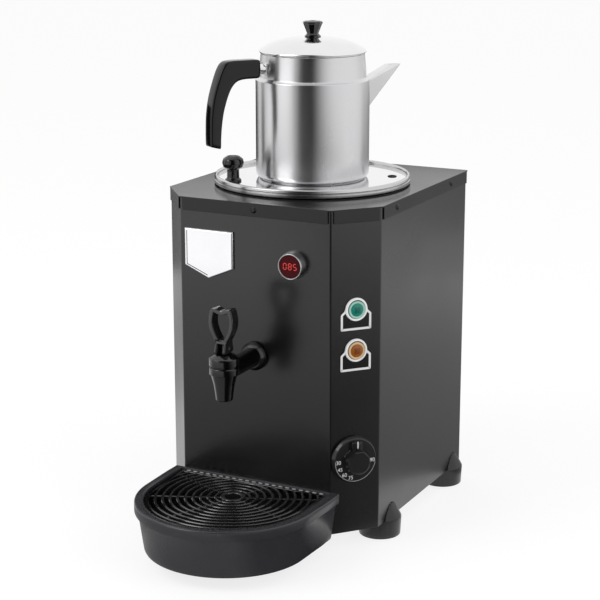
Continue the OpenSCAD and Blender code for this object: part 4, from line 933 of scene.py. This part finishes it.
def dial_print():
    """The dial's arc, its index line and its numbers."""
    print_z = DIAL_SKIRT + 0.02
    ring = strip(arc(DIAL_FACE_R - 0.3, *DIAL_ARC, 72), 0.5, print_z - 0.2, print_z)
    add_piece("dial_arc", ring, DIAL_FRAME, "knob", "black_plastic", finish="grey_ink")
    mark = strip([(0, 14.5), (0, DIAL_FACE_R - 1.2)], 1, DIAL_SKIRT + 5.5, DIAL_SKIRT + 5.8)
    add_piece("dial_index", mark, DIAL_FRAME, "knob", "black_plastic", finish="white_ink")
    for text, turn in DIAL_NUMBERS:
        spin = Matrix.Rotation(math.radians(turn), 4, "Z")
        spot = DIAL_FRAME @ spin @ shift(NUMBER_R, 0, print_z) @ spin.inverted()
        add_number(f"dial_number_{text}", text, NUMBER_SIZE, spot, "knob", "white_ink")


def add_number(name, text, size, place, body, finish):
    """A plain number as thin raised print."""
    curve = bpy.data.curves.new(name, "FONT")
    curve.body = text
    curve.size = size * MM
    curve.extrude = NUMBER_RELIEF * MM
    curve.align_x = "CENTER"
    curve.align_y = "CENTER"
    maker = bpy.data.objects.new(name, curve)
    mesh = bpy.data.meshes.new_from_object(maker)
    mesh.transform(place)
    mesh.materials.clear()
    mesh.materials.append(MATERIALS[finish])
    bpy.data.objects.remove(maker)
    enter(name, mesh, body)


def panel_mark():
    """The small dot over the dial that its index line points at."""
    dot = lathe([(0, -0.2), (1.3, -0.2), (1.3, 0.15), (0, 0.25)], 24)
    place = DIAL_FRAME @ shift(0, DOT_UP, 0)
    add_piece("dial_dot", dot, place, "root", "black_plastic", finish="black_ink_and_painted_shade")


# ---------- Lamps and thermometer ----------

def lamp(colour):
    """A pale ring round a gap of painted shade, with a glass, its cap and a square core a little off its
    middle.
    """
    place = on_chamfer(f"{colour}_lamp_lens")
    off_middle = 0.45
    seat = place @ shift(off_middle, -off_middle, 0)
    radius = half_size(f"{colour}_lamp_bezel", Z)
    slot = f"{colour}_glass"
    ring = [(9.7, 1), (9.7, 2.5), (9.9, 3.0, 0.3), (10.4, 3.2, 0.4), (radius - 1.0, 3.2, 0.6)]
    ring += [(radius - 0.2, 2.6, 0.8), (radius, 1.2, 0.4), (radius, 0.8), (6, 0.8), (6, -24), (0, -24)]
    ring += [(0, 1)]
    add_piece(f"{colour}_lamp_ring", turned(ring, 5), place, "root", "bezel_chrome",
              [f"{colour}_lamp_bezel"], "lamp_ring")
    glass = [(0, 1), (9.0, 1), (9.0, 2.2, 0.4), (8.3, 2.9, 0.6), (7.0, 2.5, 0.4), (6.6, 2.3)]
    dish = lathe(rounded(glass) + [Vector((0, 2.3))], 96)
    add_piece(f"{colour}_lamp_glass", dish, seat, "root", slot, [f"{colour}_lamp_lens"], f"{colour}_pale")
    cap = [(6.8, 1.6), (6.8, 2.5, 0.4), (5.9, 3.2, 1.2), (3.4, 3.75, 2), (0, 4.0)]
    add_piece(f"{colour}_lamp_cap", turned(cap, 5), seat, "root", slot)
    # a black disc under the glass paints the shade in the gap between the glass and the ring
    gap = lathe([(0, 1.05), (9.8, 1.05), (9.8, 1.3), (0, 1.3)], 96)
    add_piece(f"{colour}_lamp_gap_painted_shade", gap, place, "root", "bezel_chrome", finish="black_ink_and_painted_shade")
    side = 3.4
    square = rounded([(x * side, y * side, 1.4) for x, y in CORNERS], closed=True)
    core = slab(square, [(0, 2.5), (0, 3.6), (0.5, 3.9), (1.2, 4.06)])
    add_piece(f"{colour}_lamp_core", core, seat, "root", slot, finish=f"{colour}_core")
    lamp_frame(colour, place)


def lamp_frame(colour, place):
    """The light outline printed on the lamp's plate, open where the lamp sits."""
    half = 33.5 / 2
    drop = 21.5
    left = [(-11.6, 1.5), (-13.0, -1.5), (-half, -4.8, 2), (-half, -drop, 1)]
    right = [(-x, *rest) for x, *rest in reversed(left)]
    band = [(0, 0.75), (2.3, 0.75), (2.3, 0.95), (0, 0.95)]
    shape = sweep(rounded(left + right), band)
    add_piece(f"{colour}_lamp_frame", shape, place, "root", "bezel_chrome", finish="white_ink")


SEGMENTS = {"a": ((0, 2), (1, 2)), "b": ((1, 2), (1, 1)), "c": ((1, 1), (1, 0)), "d": ((1, 0), (0, 0)),
            "e": ((0, 0), (0, 1)), "f": ((0, 1), (0, 2)), "g": ((0, 1), (1, 1))}
DIGITS = {"0": "abcdef", "8": "abcdefg", "5": "afgcd"}
READING = "085"


def thermometer():
    low = box_mm("thermometer_bezel")[0]
    centre = middle("thermometer_display")
    place = facing((centre.x, FRONT, centre.z), OUT_OF_FRONT)
    radius = half_size("thermometer_bezel")
    depth = FRONT - low.y
    inner = radius - 2.5
    bore = 9.5
    barrel = 11
    ring = [(bore, -20), (barrel, -20), (barrel, 0), (radius, 0), (radius, 2.5, 1.5)]
    ring += [(radius - 1.4, depth - 0.7, 0.6), (radius - 1.7, depth, 0.4), (inner + 0.3, depth, 0.3)]
    ring += [(inner, depth - 0.8, 0.4), (inner - 0.2, depth - 1.6), (bore, depth - 1.6)]
    add_piece("thermometer_ring", turned(ring, 5, 128, closed=True), place, "root", "bezel_chrome",
              ["thermometer_bezel"], "satin_chrome")
    thermometer_digits(place, depth - 0.65)


def thermometer_digits(place, top):
    """Seven-segment digits on the display."""
    width = 3.2
    tall = 3.1
    pitch = 5.6
    stroke = 0.7
    gap = 0.4
    shapes = []
    for number, digit in enumerate(READING):
        left = (number - 1) * pitch - width / 2
        for segment in DIGITS[digit]:
            start, end = (Vector((left + x * width, (y - 1) * tall)) for x, y in SEGMENTS[segment])
            trim = (end - start).normalized() * gap
            shapes.append(strip([start + trim, end - trim], stroke, top - 0.1, top))
    add_piece("thermometer_digits", joined(shapes), place, "root", "display_red", finish="red_glow")


# ---------- Badge ----------

def badge_border():
    """A dark inlaid line along the left side and the lower left side of the bare badge."""
    low, high = box_mm("badge_plate")
    point = 12
    line_in = 3.2
    left = -half_size("badge_plate") + line_in
    foot = low.z - high.z
    path = [(left, -2.4), (left, foot + point + 1.6), (-1, foot + line_in + 0.6)]
    place = facing(((low.x + high.x) / 2, low.y, high.z), OUT_OF_FRONT)
    add_piece("badge_border", strip(path, 0.8, -0.3, 0.05), place, "root", "badge_silver", finish="black_ink_and_painted_shade")


# ---------- Drip tray and grille ----------

TRAY_R = 95                 # radius of the tray's round front
TRAY_GAP = 0.4              # between the tray and the panel
TRAY_RIM = 9.5
TRAY_WALL = 2.5
TRAY_HALF = box_mm("drip_tray")[1].x
TRAY_OUT = FRONT - box_mm("drip_tray")[0].y - TRAY_R
TRAY_LOW = box_mm("drip_tray")[0].z
TRAY_TOP = box_mm("drip_tray")[1].z
TRAY_SHOULDER = 20          # straight length of each side, from the panel
GRILLE_LOW = box_mm("drip_grille")[0].z
GRILLE_TOP = box_mm("drip_grille")[1].z
GRILLE_GAP = 0.4            # between the grille and the tray
HOOK_X = 50
HOOK_HALF = 12
HOOK_LOW = 42
HOOK_TOP = 45


def tray_outline(inwards, back, steps=120):
    """The tray's plan from its back left corner round the front to its back right corner."""
    half = TRAY_HALF - inwards
    radius = TRAY_R - inwards
    rise = TRAY_OUT - TRAY_SHOULDER
    slip = math.degrees(math.acos(radius / math.hypot(half, rise)) - math.atan2(rise, half))
    front = arc(radius, 180 + slip, 360 - slip, steps, (0, FRONT - TRAY_OUT))
    edge = FRONT - TRAY_GAP - back
    shoulder = FRONT - TRAY_SHOULDER
    return [(-half, edge), (-half, shoulder)] + front + [(half, shoulder), (half, edge)]


def tray_layers():
    """The tray's levels as (inwards, height, back), from its foot over the rim and down into the basin."""
    band = TRAY_TOP - 10.5
    basin = TRAY_RIM + TRAY_WALL
    foot = [(16, TRAY_LOW, 0), (11.4, TRAY_LOW, 0), (9.9, TRAY_LOW + 0.6, 0), (9.0, TRAY_LOW + 2.4, 0)]
    side = [(8.3, TRAY_LOW + 7, 0), (3.6, band - 0.5, 0), (3.1, band, 0), (0.8, band, 0)]
    side += [(0.2, band + 0.3, 0), (0, band + 0.9, 0), (0, TRAY_TOP - 1.5, 0)]
    rim = [(0.3, TRAY_TOP - 0.6, 0), (0.9, TRAY_TOP - 0.1, 0), (1.6, TRAY_TOP, 0)]
    rim += [(TRAY_RIM - 0.9, TRAY_TOP, TRAY_WALL - 1), (TRAY_RIM - 0.3, TRAY_TOP - 0.3, TRAY_WALL - 0.3)]
    inside = [(TRAY_RIM, TRAY_TOP - 1, TRAY_WALL), (TRAY_RIM, GRILLE_LOW, TRAY_WALL)]
    inside += [(basin, GRILLE_LOW, 2 * TRAY_WALL), (basin, TRAY_LOW + 6, 2 * TRAY_WALL)]
    inside += [(basin + 0.8, TRAY_LOW + 3.5, 6), (basin + 3, TRAY_LOW + 2.6, 8)]
    return foot + side + rim + inside


def drip_tray():
    loops = [[(x, y, z) for x, y in tray_outline(inwards, back)] for inwards, z, back in tray_layers()]
    shapes = [loft(loops)]
    for side in (-HOOK_X, HOOK_X):
        left = side - HOOK_HALF
        right = side + HOOK_HALF
        hook = [(left, FRONT - 1), (right, FRONT - 1), (right, FRONT + 9.2), (left, FRONT + 9.2)]
        edges = [(0.4, HOOK_LOW), (0, HOOK_LOW + 0.4), (0, HOOK_TOP - 0.4), (0.4, HOOK_TOP)]
        shapes.append(slab(hook, edges))
    add_piece("tray_shell", joined(shapes), Matrix(), "tray", "tray_plastic", ["drip_tray"], sharp=40)


RING_CENTRE = (0, FRONT - 50)
RING_PITCH = 7.7
RING_W = 3.0
RING_COUNT = 18
SPOKES = 8
SPOKE_STATIONS = range(11, 120, 2)      # distances from the middle of the rings
EYE_R = 8.4
EYE_W = 4.6
FRAME_IN = TRAY_RIM + GRILLE_GAP
FRAME_W = 5.0
TEETH = 21


def in_grille(x, y):
    """Whether a place lies inside the middle line of the grille's frame."""
    edge = FRAME_IN + FRAME_W / 2
    if y > FRONT - TRAY_GAP - TRAY_WALL - GRILLE_GAP - FRAME_W / 2:
        return False
    if y > FRONT - TRAY_OUT:
        return abs(x) < TRAY_HALF - edge
    return math.hypot(x, y - (FRONT - TRAY_OUT)) < TRAY_R - edge


def inner_runs(path):
    """The stretches of a path that lie inside the frame."""
    runs, run = [], []
    for point in path:
        if in_grille(*point):
            run.append(point)
        elif run:
            runs.append(run)
            run = []
    return [run for run in runs + [run] if len(run) > 2]


def grille_rings(height):
    """The eye and the rings round it, cut where they meet the frame."""
    bar = round_top(RING_W, height, 1.45)
    eye = arc(EYE_R + EYE_W / 2, 0, 357, 119, RING_CENTRE)
    shapes = [sweep(eye, round_top(EYE_W, height, 1.3), closed=True)]
    for ring in range(1, RING_COUNT + 1):
        path = arc(EYE_R + ring * RING_PITCH + RING_W / 2, 90, 450, 240, RING_CENTRE)
        for run in inner_runs(path):
            whole = len(run) == len(path)
            shapes.append(sweep(run[:-1] if whole else run, bar, closed=whole))
    return shapes


def grille_spokes(height):
    """Bars under the rings' tops, from the eye to the frame."""
    bar = round_top(RING_W, height - 1.5, 0.8)
    shapes = []
    for spoke in range(SPOKES):
        turn = math.radians((spoke + 0.5) * 360 / SPOKES)
        path = [(RING_CENTRE[0] + out * math.cos(turn), RING_CENTRE[1] + out * math.sin(turn))
                for out in SPOKE_STATIONS]
        shapes += [sweep(run, bar) for run in inner_runs(path)]
    return shapes


def drip_grille():
    height = GRILLE_TOP - GRILLE_LOW
    outline = tray_outline(FRAME_IN + FRAME_W / 2, TRAY_WALL + GRILLE_GAP + FRAME_W / 2)
    border = sweep(outline, round_top(FRAME_W, height, 1.0), closed=True)
    add_piece("grille_frame", lifted(border, GRILLE_LOW), Matrix(), "grille", "black_plastic")
    shape = lifted(joined(grille_rings(height) + grille_spokes(height)), GRILLE_LOW)
    add_piece("grille_rings", shape, Matrix(), "grille", "black_plastic", ["drip_grille"], "grille_plastic")


def grille_teeth():
    """The row of teeth along the grille's back edge, light grey as a painted highlight."""
    pitch = 2 * (TRAY_HALF - TRAY_RIM - FRAME_W) / TEETH
    back = FRONT - TRAY_GAP - TRAY_WALL - 0.6
    front = back - 2.2
    teeth = []
    for tooth in range(TEETH):
        x = (tooth - (TEETH - 1) / 2) * pitch
        left = x - 2.1
        right = x + 2.1
        plan = rounded([(left, front, 0.6), (right, front, 0.6), (right, back, 0.6), (left, back, 0.6)],
                       closed=True, steps=2)
        teeth.append(slab(plan, [(0, GRILLE_TOP - 1), (0, GRILLE_TOP + 0.2), (0.4, GRILLE_TOP + 0.6),
                                 (0.8, GRILLE_TOP + 0.7)]))
    add_piece("grille_teeth", joined(teeth), Matrix(), "grille", "black_plastic", finish="painted_highlight_grey")


# ---------- The order of the work ----------

make_camera()
make_studio()
make_slot_materials()
make_own_materials()
dress_nodes()
for make in (pot_body, pot_lid, pot_lid_knob, pot_handle, lid_rim, lid_knob, steam_grommet, tap_body,
             tap_bonnet, tap_collar, thermostat_knob, dial_print, panel_mark, badge_border, thermometer,
             drip_tray, drip_grille, grille_teeth):
    make()
for colour in ("green", "amber"):
    lamp(colour)
for name, width in SOFTENED.items():
    soften(name, width)

bpy.context.scene.view_settings.view_transform = "Standard"
